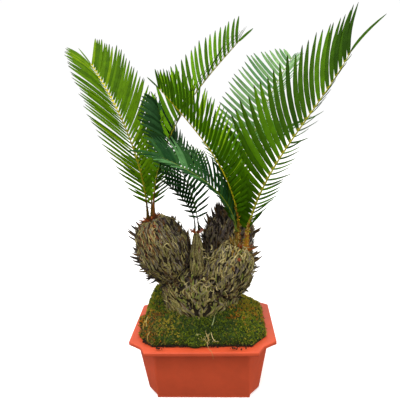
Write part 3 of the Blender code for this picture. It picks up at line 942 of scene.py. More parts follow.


# The first colour, crack, is near-black: dark bark, and painted shade on the cores between scales,
# under the scales and in the furrows.
SCALE_COLORS = {
    "crack": "#30271A",
    "olive": "#8C8548",
    "khaki": "#AC9F60",
    "grey": "#8B8068",
    "umber": "#67502F",
    "plum": "#716560",
    "coal": "#463C33",
    "straw": "#D2C184",
    "lichen": "#828B3C",
    "rust": "#8E4A2A",
    "orange": "#BE622A",
    "pink": "#D08A76",
    "ochre": "#A88234",
    "spine": "#2E2720",
}
COATS = {
    "trunk": Coat(
        (("olive", 28), ("khaki", 24), ("grey", 18), ("umber", 20), ("lichen", 8), ("straw", 2)),
        tints=(((0.35, -0.9, 0.35), 0.35, ("lichen", "olive", "khaki")),
               ((0, -0.3, -0.9), 0.3, ("khaki", "straw", "grey")),
               ((-0.95, 0.1, 0.1), 0.4, ("plum", "umber", "grey"))),
        threads=90, fibres=900, fan=0.20, size=1.15, tip_lift=2.6 * MM, swirl=1.2,
    ),
    "left_head": Coat(
        (("olive", 30), ("grey", 24), ("umber", 24), ("khaki", 20), ("coal", 2)),
        tints=(((-0.60, -0.40, 0.70), 0.6, ("rust", "umber", "rust", "grey")),
               ((0.70, -0.20, 0.70), 0.7, ("plum", "plum", "umber", "grey", "coal"))),
        spikes=(((-0.95, -0.1, -0.25), 26, 13.0), ((-0.5, -0.2, -0.8), 18, 12.0),
                ((0.75, 0.0, 0.65), 26, 8.0), ((0.0, 1.0, 0.0), 40, 9.0)),
        bracts=("orange", "rust", "rust", "umber"), bract_count=56, threads=40,
        fibres=800, size=0.85, swirl=0.25,
    ),
    "rear_head": Coat(
        (("plum", 40), ("coal", 8), ("grey", 32), ("umber", 16), ("straw", 4)),
        spikes=(((-0.6, -0.3, 0.75), 34, 13.0), ((0.95, 0.0, 0.15), 30, 12.0),
                ((0.1, 0.0, 1.0), 20, 12.0), ((0.2, 1.0, 0.1), 50, 10.0)),
        bracts=("coal", "plum", "rust", "umber"), bract_count=40, threads=50,
        tip_lift=2.8 * MM, swirl=0.35,
    ),
    "right_head": Coat(
        (("olive", 26), ("khaki", 26), ("grey", 24), ("umber", 14), ("straw", 4), ("lichen", 6)),
        tints=(((0.2, -0.2, 0.95), 0.6, ("ochre", "straw", "umber", "khaki")),
               ((-0.35, -0.6, 0.7), 0.6, ("straw", "ochre", "khaki", "lichen")),
               ((-0.5, -0.85, -0.1), 0.5, ("grey", "plum", "grey", "khaki"))),
        spikes=(((0.9, 0.0, -0.45), 9, 11.0), ((0.95, 0.2, 0.2), 8, 9.0)),
        bracts=("ochre", "orange", "straw", "umber"), bract_count=70, threads=70,
        size=1.10, tip_lift=2.2 * MM, swirl=0.6,
    ),
    "centre_head": Coat(
        (("olive", 30), ("lichen", 18), ("khaki", 36), ("umber", 12), ("straw", 4)),
        tints=(((0.3, -0.3, 0.9), 0.5, ("pink", "rust", "straw")),),
        bracts=("pink", "rust", "orange", "umber"), bract_count=18, threads=24,
        size=0.65, tip_lift=1.0 * MM, swirl=0.1, sink=2.4 * MM, wedge=0.5,
    ),
}


def scale_materials():
    """Dead leaf bases of a cycad: dry, fibrous and matt, furrowed along their length."""
    return [
        plain_material(f"leaf_base_{name}", code, 0.42, 3.2 * MM, 0.9, 0.7 * MM)
        for name, code in SCALE_COLORS.items()
    ]


def tinted(bulb, coat, starts, kinds, rng):
    """The kinds with those of the coat's tints dealt out on the sides that they name."""
    normal = bulb_normals(bulb, starts[:, 0], starts[:, 1])
    for direction, share, colors in coat.tints:
        facing = normal @ unit(np.array(direction))
        hit = rng.random(len(starts)) < share * np.clip((facing - 0.45) / 0.35, 0, 1)
        choice = numbers_of(SCALE_COLORS, colors)
        kinds = np.where(hit, choice[rng.integers(0, len(colors), len(starts))], kinds)
    return kinds


def wedged(bulb, coat, points):
    """The points drawn in to the bulb's axis, more so the nearer they are to its crown."""
    foot, length, axis, _, _ = bulb_axes(bulb)
    along = (points - foot) @ axis
    middle = foot + axis * along[..., None]
    share = coat.wedge * np.clip(along / length, 0, 1)
    return points - (points - middle) * share[..., None]


def kind_numbers(shares, count, rng):
    """Colour numbers dealt out by weight, from pairs of a colour and its weight."""
    numbers = numbers_of(SCALE_COLORS, [name for name, _ in shares])
    weights = np.array([weight for _, weight in shares], float)
    return numbers[rng.choice(len(numbers), size=count, p=weights / weights.sum())]


def scale_starts(bulb, coat, settings, rng):
    """(angle, turn) of each leaf scale's foot, in staggered rows round the bulb."""
    foot_angle, top_angle = -1.40, 1.50
    arc = 0.5 * math.pi * (np.linalg.norm(np.subtract(bulb.crown, bulb.foot)) * 0.6 + bulb.radius)
    rows = int(arc / (0.42 * settings.scale_length * (0.6 + 0.4 * coat.size)))
    starts = []
    for row in range(rows):
        angle = foot_angle + (top_angle - foot_angle) * (row + 0.5) / rows
        end = bulb.crown_radius if angle > 0 else bulb.foot_radius
        out = end + (bulb.radius - end) * math.cos(angle)
        around = max(6, int(math.tau * out / (1.05 * settings.scale_width * coat.size)))
        turn = (np.arange(around) + 0.5 * (row % 2)) * math.tau / around
        turn = turn + rng.normal(0, 0.20, around) * math.tau / around
        starts.append(np.stack([angle + rng.normal(0, 0.05, around), turn], axis=-1))
    return np.concatenate(starts)


def skin_reach(bulb):
    """Length of skin to a radian of the angle from foot to crown, roughly."""
    return 0.5 * np.linalg.norm(np.subtract(bulb.crown, bulb.foot)) + 0.3 * bulb.radius


# Along a leaf scale from its foot to its tip: its hump, width and thickness.
SCALE_HUMP = np.array((0.15, 0.55, 0.80, 0.90, 0.95, 0.85))
SCALE_WIDTHS = np.array((0.70, 0.98, 1.0, 0.86, 0.56, 0.10))
SCALE_THICKNESS = np.array((1.0, 1.2, 1.1, 0.9, 0.5, 0.1)) * MM


def scale_rings(bulb, coat, starts, settings, rng):
    """Rings of the leaf scales, each rising from the skin to its tip."""
    count = len(starts)
    steps = np.linspace(0, 1, 6)
    length = settings.scale_length * (0.6 + 0.4 * coat.size) * rng.uniform(0.6, 1.25, count)
    reach = length / skin_reach(bulb)
    angle = starts[:, :1] + (steps - 0.3) * reach[:, None]
    angle = np.clip(angle, -1.50, 1.53)
    place = bulb_points(bulb, starts[:, 0], starts[:, 1])
    flow = coat.swirl * (0.8 * ripple(place, 30 * MM, 2.2) + rng.normal(0, 0.30, count))
    flow = flow - coat.fan * np.sin(2 * starts[:, 1])
    bow = rng.normal(0, 0.28, count)
    girth = np.maximum(0.35, np.cos(starts[:, 0])) * bulb.radius
    sideways = (flow[:, None] * steps + bow[:, None] * (steps - steps**2)) * length[:, None]
    turn = starts[:, 1:] + sideways / girth[:, None]
    point, normal = skin(bulb, angle, turn, settings.lump)
    rise = rng.uniform(0.3, 1.6, count)[:, None] * coat.tip_lift
    off = rise * (0.35 * SCALE_HUMP + 0.65 * steps**1.5) - coat.sink
    path = point + normal * off[..., None]
    along = unit(np.gradient(path, axis=1))
    across = unit(np.cross(along, normal))
    tilt = rng.normal(0, 0.30, count)[:, None, None]
    across = unit(across + normal * tilt)
    face = np.cross(across, along)
    face = face * np.sign(np.sum(face * normal, axis=-1, keepdims=True))
    width = coat.size * settings.scale_width * rng.uniform(0.6, 1.15, count)[:, None]
    width = width * SCALE_WIDTHS
    thick = np.broadcast_to(SCALE_THICKNESS, width.shape)
    return blades(path, across, face, width, thick, cup=0.16)


def thread_rings(bulb, coat, settings, rng):
    """Loose straw fibres that lie crooked over the scales."""
    count = coat.threads
    length = rng.uniform(5, 13, count) * MM
    lift = rng.uniform(0.9, 2.2, count) * coat.tip_lift * 0.6 - 0.5 * coat.sink
    radius = rng.uniform(0.30, 0.55, count) * MM
    return strand_rings(bulb, coat, settings, length, lift, radius, 0.75, 1.3, rng)


def fibre_rings(bulb, coat, settings, rng):
    """The fine fibres that the scales fray into."""
    count = coat.fibres
    length = rng.uniform(4, 10, count) * MM
    lift = rng.uniform(0.4, 1.5, count) * coat.tip_lift - coat.sink
    radius = rng.uniform(0.25, 0.5, count) * MM
    return strand_rings(bulb, coat, settings, length, lift, radius, 0.35, 0.5, rng)


def strand_rings(bulb, coat, settings, length, lift, radius, wander, crook, rng):
    """Round strands along the skin, as far off it as their lift."""
    count = len(length)
    starts = np.stack([rng.uniform(-1.1, 1.3, count), rng.uniform(0, math.tau, count)], axis=-1)
    steps = np.linspace(0, 1, 6)
    heading = rng.normal(0.5 * math.pi, wander, count) + coat.fan * np.sin(2 * starts[:, 1])
    course = heading[:, None] + rng.normal(0, crook, count)[:, None] * (steps - 0.5)
    reach = length[:, None] * steps / bulb.radius
    angle = np.clip(starts[:, :1] + reach * np.sin(course), -1.4, 1.5)
    turn = starts[:, 1:] + reach * np.cos(course) / np.maximum(0.3, np.cos(starts[:, :1]))
    point, normal = skin(bulb, angle, turn, settings.lump)
    lift = lift[:, None] * (0.5 + np.sin(math.pi * steps))
    girth = radius[:, None] * np.array((0.5, 1, 1, 1, 0.8, 0.2))
    return wedged(bulb, coat, tubes(point + normal * lift[..., None], girth, 4))


def spike_rings(bulb, coat, settings, rng):
    """Stiff dark leaf tips that stand out of the bulb on the sides that the coat names."""
    paths = []
    radii = []
    for direction, count, length in coat.spikes:
        aim = unit(np.array(direction))
        angle = rng.uniform(-1.35, 1.45, 6 * count)
        turn = rng.uniform(0, math.tau, 6 * count)
        point, normal = skin(bulb, angle, turn, settings.lump)
        keep = np.argsort(-(normal @ aim) + rng.uniform(0, 0.45, 6 * count))[:count]
        point = point[keep]
        normal = normal[keep]
        axis = bulb_axes(bulb)[2]
        out = unit(normal + 0.45 * axis + rng.normal(0, 0.22, (count, 3)))
        reach = length * MM * rng.uniform(0.45, 1.15, count)
        steps = np.array((-0.15, 0.3, 0.65, 1.0))
        bent = axis * 0.25 * (steps**2)[:, None]
        paths.append(point[:, None] + (out[:, None] * steps[:, None] + bent) * reach[:, None, None])
        radii.append(np.outer(rng.uniform(1.2, 2.3, count), np.array((1.0, 1.0, 0.7, 0.1))) * MM)
    return tubes(np.concatenate(paths), np.concatenate(radii), 5)


def bract_rings(bulb, coat, rng):
    """Pointed woolly bracts round the crown, leaning out between the stalks."""
    _, _, axis, right, back = bulb_axes(bulb)
    count = coat.bract_count
    turn = rng.uniform(0, math.tau, count)
    out = right * np.cos(turn)[:, None] + back * (bulb.depth * np.sin(turn))[:, None]
    reach = bulb.crown_radius * rng.uniform(0.35, 1.25, count)
    root = np.array(bulb.crown) + out * reach[:, None] - axis * 1.5 * MM
    size = rng.uniform(0.55, 1.25, count) * (0.55 * bulb.crown_radius + 4.5 * MM)
    steps = np.linspace(0, 1, 5)
    lean = out * rng.uniform(0.25, 1.1, count)[:, None] + rng.normal(0, 0.12, (count, 3))
    rise = unit(axis + lean)
    path = rays(root, rise, size, steps)
    path = path + out[:, None] * (0.22 * size[:, None] * steps**2)[..., None]
    across = unit(np.cross(rise, out))[:, None] * np.ones((1, 5, 1))
    face = np.cross(across, unit(np.gradient(path, axis=1)))
    taper = np.array((0.8, 1.0, 0.75, 0.42, 0.06))
    width = 3.4 * MM * rng.uniform(0.6, 1.2, count)[:, None] * taper
    thick = np.broadcast_to(np.array((1.0, 0.9, 0.7, 0.4, 0.1)) * MM, width.shape)
    return blades(path, across, face, width, thick, cup=0.25)


# Where dry scales curl loose: middle, spread and number, in millimetres.
CURLS = (
    ((13, -21, 178), (7, 2, 14), 26),
    ((12, -43, 150), (9, 1, 14), 16),
    ((38, -46, 182), (6, 1, 7), 12),
    ((58, -38, 196), (8, 6, 5), 12),
    ((24, -46, 160), (10, 1, 8), 10),
)
STUB = (52.0, -43.5, 186.0)  # a cut stalk's end on the right head, in millimetres
# Torn strips of pale scale: line and width, in millimetres.
STRIPS = (
    (((38, -45, 178), (42, -47, 184), (48, -45, 191), (53, -42, 195)), 2.4),
    (((24, -42, 181), (30, -44, 186), (37, -43, 189)), 1.5),
    (((12, -32, 176), (18, -39, 183), (27, -41, 188)), 1.3),
    (((60, -36, 175), (62, -36, 186), (58, -36, 193)), 1.4),
)


def curl_rings(rng):
    """Dry strips of scale that curl loose from the heads."""
    rings = []
    for middle, spread, count in CURLS:
        root = (np.array(middle) + rng.normal(0, 0.6, (count, 3)) * spread) * MM
        start = rng.uniform(0, math.tau, count)
        bend = rng.choice((-1, 1), count) * rng.uniform(0.8, 2.4, count)
        steps = np.linspace(0, 1, 7)
        turn = start[:, None] + bend[:, None] * steps
        length = rng.uniform(6, 12, count) * MM
        out = 0.35 * np.sin(math.pi * steps) - 0.1
        course = np.stack([np.cos(turn), np.broadcast_to(-out, turn.shape), np.sin(turn)], axis=-1)
        path = root[:, None] + np.cumsum(course * (length / len(steps))[:, None, None], axis=1)
        taper = np.array((0.6, 1, 1, 0.9, 0.8, 0.6, 0.1))
        width = rng.uniform(0.9, 2.0, count)[:, None] * taper * MM
        rings.append(ribbons(path, (0.2, 1.0, 0.3), width, 0.35 * width, cup=0.2))
    return np.concatenate(rings)


def strip_rings():
    """Torn strips of scale, pale side out."""
    rings = []
    for line, width in STRIPS:
        path = fine_line(line, np.linspace(0, len(line) - 1, 9))[None]
        wide = width * MM * np.array((0.3, 0.8, 1.0, 1.0, 0.9, 0.8, 0.6, 0.4, 0.1))[None]
        rings.append(ribbons(path, (-0.3, -1.0, 0.3), wide, 0.3 * wide, cup=0.2))
    return np.concatenate(rings)


def stub_rings():
    """The stub: a stalk cut short."""
    steps = np.array((0.0, 0.7, 0.95, 1.0))
    path = np.array(STUB) * MM + np.outer(steps, (0.8, -4.5, 1.2)) * MM
    return tubes(path[None], np.array([(2.2, 2.4, 1.9, 0.5)]) * MM, 10)


# The colours of the loose pieces on each bulb, dealt out in turn.
SPIKE_KINDS = ("spine", "coal", "umber")
THREAD_KINDS = ("straw", "khaki", "khaki", "umber", "grey")
FIBRE_KINDS = ("khaki", "grey", "straw", "olive", "umber", "khaki", "coal")
DARK_FIBRE_KINDS = ("grey", "plum", "coal", "umber", "grey")
CORE_FURROW = 3.5 * MM
SCALE_FURROW = 2.4 * MM


class SAGO_OT_caudex(Operator):
    """Make the trunk and its heads with their leaf scales, spikes and bracts"""

    bl_idname = "sago.caudex"
    bl_label = "Trunk and heads"

    def execute(self, context):
        settings = context.scene.sago_caudex
        materials = scale_materials()
        for number, (name, bulb) in enumerate(BULBS.items()):
            rng = np.random.default_rng(BULB_SEED + number)
            coat = COATS[name]
            others = [other for other in BULBS.values() if other is not bulb]
            self.make_core(name, bulb, settings, materials)
            self.make_scales(name, bulb, others, settings, materials, rng)
            if coat.spikes:
                rings = spike_rings(bulb, coat, settings, rng)
                self.add_loose(f"{name}_spikes", rings, others, SPIKE_KINDS, materials)
            rings = thread_rings(bulb, coat, settings, rng)
            self.add_loose(f"{name}_threads", rings, others, THREAD_KINDS, materials)
            rings = fibre_rings(bulb, coat, settings, rng)
            colors = DARK_FIBRE_KINDS if name == "rear_head" else FIBRE_KINDS
            self.add_loose(f"{name}_fibres", rings, others, colors, materials)
            if coat.bract_count:
                rings = bract_rings(bulb, coat, rng)
                kinds = numbers_of(SCALE_COLORS, coat.bracts)
                kinds = kinds[rng.integers(0, len(kinds), len(rings))][:, None, None]
                add_piece(f"{name}_bracts", rings, kinds, "bark", materials)
        curls = curl_rings(np.random.default_rng(CURL_SEED))
        self.add_loose("dry_curls", curls, (), ("straw", "grey", "khaki", "straw"), materials)
        self.add_loose("torn_strips", strip_rings(), (), ("straw", "straw", "khaki"), materials)
        self.add_loose("cut_stub", stub_rings(), (), ("rust",), materials)
        return {"FINISHED"}

    def make_core(self, name, bulb, settings, materials):
        """The uneven body under the scales, from a sphere. Its near-black crack colour is dark bark and
        painted shade where it shows between the scales.
        """
        bpy.ops.object.select_all(action="DESELECT")
        bpy.ops.mesh.primitive_uv_sphere_add(segments=72, ring_count=48, radius=1)
        core = bpy.context.object
        core.name = f"{name}_core"
        points = read_points(core.data)
        angle = np.arcsin(np.clip(points[:, 2], -1, 1))
        turn = np.arctan2(points[:, 1], points[:, 0])
        placed, normal = skin(bulb, np.clip(angle, -1.52, 1.52), turn, settings.lump)
        placed -= normal * (COATS[name].sink + 0.8 * MM)
        # The two poles close the flat crown and foot.
        for pole in np.where(np.abs(points[:, 2]) > 0.9999)[0]:
            placed[pole] = bulb.crown if points[pole, 2] > 0 else bulb.foot
        sunk = in_furrow(placed, 3 * MM)[:, None]
        placed = np.where(sunk, placed - normal * CORE_FURROW, placed)
        write_points(core.data, wedged(bulb, COATS[name], placed))
        only_select(core)
        bpy.ops.object.shade_smooth()
        dress(core, "bark", materials[:1], name)

    def make_scales(self, name, bulb, others, settings, materials, rng):
        """The coat of leaf scales, left open where another bulb or a crack is."""
        coat = COATS[name]
        starts = scale_starts(bulb, coat, settings, rng)
        rings = wedged(bulb, coat, scale_rings(bulb, coat, starts, settings, rng))
        rings = grooved(bulb, rings, SCALE_FURROW)
        # The two halves of a scale's top differ, as its fibres do.
        halves = [
            tinted(bulb, coat, starts, kind_numbers(coat.colors, len(rings), rng), rng)
            for _ in range(2)
        ]
        middle = rings[:, 2].mean(axis=1)
        # In the valleys between the bulbs the scales are painted dark: painted shade where the bulbs
        # meet.
        valley = np.any([inside(other, middle, -6 * MM) for other in others], axis=0)
        valley &= rng.random(len(rings)) < 0.7
        valley_shade = numbers_of(SCALE_COLORS, ("coal", "umber", "coal", "plum"))
        halves = [np.where(valley, valley_shade[rng.integers(0, 4, len(rings))], half) for half in halves]
        free = ~np.any([inside(other, middle, 1.5 * MM) for other in others], axis=0)
        free &= ~in_crack(middle)
        kept = free & (middle[:, 2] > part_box("soil")[1][2]) & (rng.random(len(free)) > 0.05)
        rings = rings[kept]
        # A scale's two underside faces keep colour 0, the near-black crack colour: painted shade
        # beneath each scale.
        per_face = np.zeros((len(rings), 5, 4), int)
        per_face[:, :, 0] = halves[0][kept][:, None]
        per_face[:, :, 1] = halves[1][kept][:, None]
        # Scales in a furrow are near-black all over: painted shade in the furrow, besides sinking it.
        centre = 0.5 * (rings[:, :-1] + rings[:, 1:]).mean(axis=2)
        per_face[in_furrow(centre, 0.3 * MM)] = 0
        add_piece(f"{name}_scales", rings, per_face, "bark", materials)

    def add_loose(self, name, rings, others, colors, materials):
        """Keeps the pieces that are clear of the other bulbs."""
        if others:
            middle = rings[:, 2].mean(axis=1)
            free = ~np.any([inside(other, middle, 0) for other in others], axis=0)
            clear = ~in_furrow(rings.mean(axis=2), 0).any(axis=1)
            rings = rings[free & ~in_crack(middle) & clear]
        kinds = np.resize(numbers_of(SCALE_COLORS, colors), len(rings))
        add_piece(name, rings, kinds[:, None, None], "bark", materials)


# Fronds


def slope_at(slopes, share):
    """The rib's rise in degrees, on a smooth curve through its three values."""
    crown, middle, tip = slopes
    return (
        crown * (1 - share) * (1 - 2 * share)
        + middle * 4 * share * (1 - share)
        + tip * share * (2 * share - 1)
    )


def rib_line(frond, count=96):
    """The rib's points with its forward, upper and right directions, crown to tip."""
    _, _, axis, right, back = bulb_axes(frond.head)
    start = np.array(frond.head.crown) + right * frond.seat[0] + back * frond.seat[1]
    share = np.linspace(0, 1, count + 1)
    slope = np.radians(slope_at(frond.slopes, share))
    azimuth = math.radians(frond.azimuth)
    out = np.array((math.cos(azimuth), math.sin(azimuth), 0.0))
    up = np.array((0.0, 0.0, 1.0))
    along = np.cos(slope)[:, None] * out + np.sin(slope)[:, None] * up
    inner = np.cos(slope)[:, None] * up - np.sin(slope)[:, None] * out
    steps = np.cumsum(along[:-1] * frond.length / count, axis=0)
    point = start + np.concatenate([np.zeros((1, 3)), steps])
    return point, along, inner, np.cross(along, inner)


def rib_at(line, share):
    """The rib's point and directions at shares of its whole length."""
    places = np.linspace(0, 1, len(line[0]))
    return [
        np.stack([np.interp(share, places, part[:, i]) for i in range(3)], axis=-1) for part in line
    ]


def rib_radius(frond, share):
    """The rib's radius at shares of its length from the crown."""
    base = RIB_BASE * frond.foot
    low = base + (RIB_FIRST - base) * share / frond.bare
    high = RIB_FIRST + (RIB_TIP - RIB_FIRST) * (share - frond.bare) / (1 - frond.bare)
    return np.where(share < frond.bare, low, high) * frond.girth


def rib_rings(frond, line):
    """The rib, flat above and round below, with a swollen foot."""
    share = np.linspace(0, 1, 60) ** 1.1
    point, along, inner, right = rib_at(line, share)
    radius = rib_radius(frond, share) * (1 + 0.5 * np.exp(-share * frond.length / (4 * MM)))
    turn = np.arange(10) * math.tau / 10
    up = np.sin(turn) * np.where(np.sin(turn) > 0, 0.55, 1.0)
    rings = point[:, None] + radius[:, None, None] * (
        right[:, None] * np.cos(turn)[:, None] + inner[:, None] * up[:, None]
    )
    return rings[None], share


# Shares of a leaflet's length, and its width there against its widest.
LEAF_STEPS = np.array((0.0, 0.03, 0.14, 0.30, 0.46, 0.62, 0.80, 0.95, 1.0))
LEAF_WIDTHS = np.array((0.55, 0.62, 0.90, 1.0, 1.0, 0.93, 0.74, 0.34, 0.05))
LEAF_THICKNESS = 0.45 * MM * (0.35 + 0.65 * LEAF_WIDTHS)


def leaflet_headings(row, share, sweep, along, out, inner):
    """The way each leaflet runs, ring by ring, as it bends forward and down."""
    curl = row.curl * np.interp(LEAF_STEPS, (0.1, 0.6, 1), (0, 0.8, 1.05))
    bend = np.radians(np.maximum(2, sweep[:, None] - curl))
    hang = row.droop * np.interp(LEAF_STEPS, (0.15, 0.6, 1), (0, 0.8, 1.1))
    down = (0.25 + share[:, None]) * hang
    return unit(
        along[:, None] * np.cos(bend)[..., None]
        + out[:, None] * np.sin(bend)[..., None]
        - inner[:, None] * down[..., None]
    )


def leaflet_widths(frond, row, grown, share, sweep, width):
    """Each leaflet's width ring by ring, limited by the room to the next one."""
    spread = np.maximum(0.5, np.sin(np.radians(sweep)))
    room = 1.02 * frond.length * (1 - frond.bare) / frond.pairs * spread
    slimmed = row.broad * (0.75 + 0.25 * grown) * (1 - row.slim * share)
    return (slimmed * np.minimum(width, room))[:, None] * LEAF_WIDTHS


def leaflet_rings(frond, line, side, width, rng):
    """The leaflets on one side of the rib: side is 1 for the right and -1 for the left."""
    count = frond.pairs
    share = (np.arange(count) + 0.5 + rng.uniform(-0.07, 0.07, count)) / count
    place = frond.bare + (1 - frond.bare) * share**frond.spread
    point, along, inner, right = rib_at(line, place)
    row = frond.right if side > 0 else frond.left
    turned = share**row.late
    lift = np.radians(row.lift[0] + (row.lift[1] - row.lift[0]) * turned + rng.normal(0, 1.2, count))
    # The leaflets are short at the crown, grow over the first two fifths and shrink at the tip.
    grown = 0.28 + 0.72 * np.sin(0.5 * math.pi * np.minimum(1, share / 0.4))
    shrunk = 1 - row.taper * np.maximum(0, (share - 0.72) / 0.28) ** 1.3
    length = row.length * grown * shrunk * rng.uniform(0.94, 1.03, count)
    sweep = row.sweep[0] + (row.sweep[1] - row.sweep[0]) * turned + rng.normal(0, 0.8, count)
    out = side * right * np.cos(lift)[:, None] + inner * np.sin(lift)[:, None]
    heading = leaflet_headings(row, share, sweep, along, out, inner)
    gaps = np.diff(LEAF_STEPS)
    middle = 0.5 * (heading[:, 1:] + heading[:, :-1]) * (length[:, None] * gaps)[..., None]
    path = np.concatenate([np.zeros((count, 1, 3)), np.cumsum(middle, axis=1)], axis=1)
    path = path + (point + side * right * (0.6 * rib_radius(frond, place))[:, None])[:, None]
    across = along[:, None] - heading * np.sum(along[:, None] * heading, axis=-1, keepdims=True)
    across = unit(across)
    face = unit(np.cross(heading, across)) * -side
    # Each blade is set a little on the skew, and no two quite alike.
    skew = np.radians(rng.normal(row.skew, 5, count))[:, None, None]
    across = across * np.cos(skew) + face * np.sin(skew)
    face = np.cross(across, heading)
    face = face * np.sign(np.sum(face * inner[:, None], axis=-1, keepdims=True))
    wide = leaflet_widths(frond, row, grown, share, sweep, width)
    thick = np.broadcast_to(LEAF_THICKNESS, wide.shape)
    return blades(path, across, face, wide, thick)


def end_rings(frond, line, width):
    """The leaflet that goes on from the rib's tip."""
    point, along, inner, right = (part[-1] for part in line)
    lean = inner * (frond.nod * LEAF_STEPS**1.6)[:, None]
    path = point + frond.end * (along * LEAF_STEPS[:, None] - lean)
    # It lies in the plane of the left row.
    lift = math.radians(frond.left.lift[1])
    across = np.broadcast_to(inner * math.sin(lift) - right * math.cos(lift), path.shape)
    face = np.broadcast_to(inner * math.cos(lift) + right * math.sin(lift), path.shape)
    wide = np.minimum(width, 0.15 * frond.end) * LEAF_WIDTHS
    return blades(path[None], across[None], face[None], wide[None], LEAF_THICKNESS[None])


def leaflet_kinds(count, frond, rng):
    """Material numbers: uppers in three greens, underside, darker ends, tips and bright feet."""
    upper = rng.choice(3, size=count, p=(0.5, 0.3, 0.2))
    kinds = np.empty((count, len(LEAF_STEPS) - 1, 4), int)
    kinds[:, :, :2] = upper[:, None, None]
    kinds[:, :, 2:] = UNDERSIDE
    kinds[:, -1] = DARK_END
    kinds[:, -1, 0] = HARD_TIP
    bright = (np.arange(count) % frond.pairs) > frond.bright * frond.pairs
    kinds[:, 0] = np.where(bright, RIB, LOW_RIB)[:, None]
    return kinds


def rib_kinds(frond, share):
    """Material numbers along the rib: a woolly stalk, a duller lower rib and a bright rib."""
    dull_until = frond.bright if frond.bright < 1 else 0
    kinds = np.where(share[:-1] < dull_until, LOW_RIB, RIB)
    kinds = np.where(share[:-1] < 1.2 * frond.bare, STALK, kinds)
    return kinds[None, :, None]


def wool_rings(frond, line, rng):
    """Flecks of ochre wool on the stalk."""
    place = 1.5 * frond.bare * rng.random(frond.wool) ** 1.4
    point, along, inner, right = rib_at(line, place)
    turn = rng.uniform(0, math.tau, frond.wool)[:, None]
    out = right * np.cos(turn) + inner * np.sin(turn)
    root = point + out * (0.8 * rib_radius(frond, place))[:, None]
    rise = along * rng.normal(0.5, 0.8, (frond.wool, 1))
    course = unit(0.7 * out + rise + rng.normal(0, 0.3, out.shape))
    length = rng.uniform(1.6, 4.2, frond.wool) * MM
    steps = np.array((0.0, 0.5, 1.0))
    path = rays(root, course, length, steps)
    radius = np.outer(rng.uniform(0.45, 0.95, frond.wool), (1.0, 0.8, 0.15)) * MM
    return tubes(path, radius, 4)


def spine_rings(frond, line, rng):
    """Short spines on the bare stalk."""
    count = max(3, int(frond.bare * frond.length / (5.5 * MM)))
    place = np.linspace(0.25, 0.95, count) * frond.bare
    place = np.concatenate([place, place + 0.01])
    side = np.repeat((1.0, -1.0), count)[:, None]
    point, along, inner, right = rib_at(line, place)
    out = unit(side * right + 0.5 * along + 0.2 * inner)
    length = (2.5 + 6.0 * place / frond.bare) * MM * rng.uniform(0.8, 1.2, 2 * count)
    steps = np.array((0.0, 0.5, 1.0))
    path = rays(point, out, length, steps)
    radius = np.outer(np.full(2 * count, 0.55 * MM), (1.0, 0.7, 0.1))
    return tubes(path, radius, 4)


class SAGO_OT_fronds(Operator):
    """Make every frond: rib, two rows of leaflets and the stalk's spines"""

    bl_idname = "sago.fronds"
    bl_label = "Fronds"

    def execute(self, context):
        settings = context.scene.sago_frond
        width = settings.leaflet_width
        for number, (name, frond) in enumerate(FRONDS.items()):
            rng = np.random.default_rng(FROND_SEED + number)
            line = rib_line(frond)
            materials = leaf_materials(name, frond, tuple(settings.tip_color))
            rows = [leaflet_rings(frond, line, side, width, rng) for side in (1, -1)]
            rings = np.concatenate([*rows, end_rings(frond, line, width)])
            kinds = leaflet_kinds(len(rings), frond, rng)
            leaflets = add_piece(f"{name}_leaflets", rings, kinds, "frond", materials, name)
            leaflets.data.shade_smooth()
            leaflets.data.set_sharp_from_angle(angle=math.radians(40))
            rings, share = rib_rings(frond, line)
            rib = add_piece(f"{name}_rib", rings, rib_kinds(frond, share), "frond", materials)
            rib.data.shade_smooth()
            add_piece(f"{name}_spines", spine_rings(frond, line, rng), STALK, "frond", materials)
            if frond.wool:
                rings = wool_rings(frond, line, rng)
                kinds = rng.choice((RIB, STALK, PALE_WOOL, RUST_WOOL), size=len(rings))
                wool = [plain_material(f"{name}_wool_{i}", code, 0.3, 2 * MM, 0.9, 0.3 * MM)
                        for i, code in enumerate(WOOL_COLORS)]
                add_piece(f"{name}_wool", rings, kinds[:, None, None], "frond", materials + wool)
        return {"FINISHED"}


# Stage

# The camera that sees the pot's corners where the photograph has them, with angles in degrees.
CAMERA_PLACE = (0.0348, -0.5581, 0.3718)
CAMERA_YAW, CAMERA_PITCH, CAMERA_ROLL = 3.44, 11.46, -2.14
CAMERA_LENS = 36.9  # in millimetres, on a sensor 36 mm wide
# Place, size in metres and share of the key light's power.
LAMPS = {
    "top_softbox": ((-0.25, -0.35, 1.45), 1.1, 1.15),
    "left_softbox": ((-1.3, -0.45, 0.75), 0.8, 0.33),
    "right_softbox": ((1.35, -0.35, 0.70), 0.8, 0.34),
    "front_fill": ((0.15, -1.8, 0.95), 1.4, 0.20),
    "back_softbox": ((0.1, 1.5, 1.3), 1.2, 0.35),
    "low_left_strip": ((-1.1, 0.05, 0.14), 0.3, 0.12),
    "low_right_strip": ((1.1, 0.05, 0.14), 0.3, 0.12),
}
LAMPS_AIM = Vector((0, 0, 0.22))

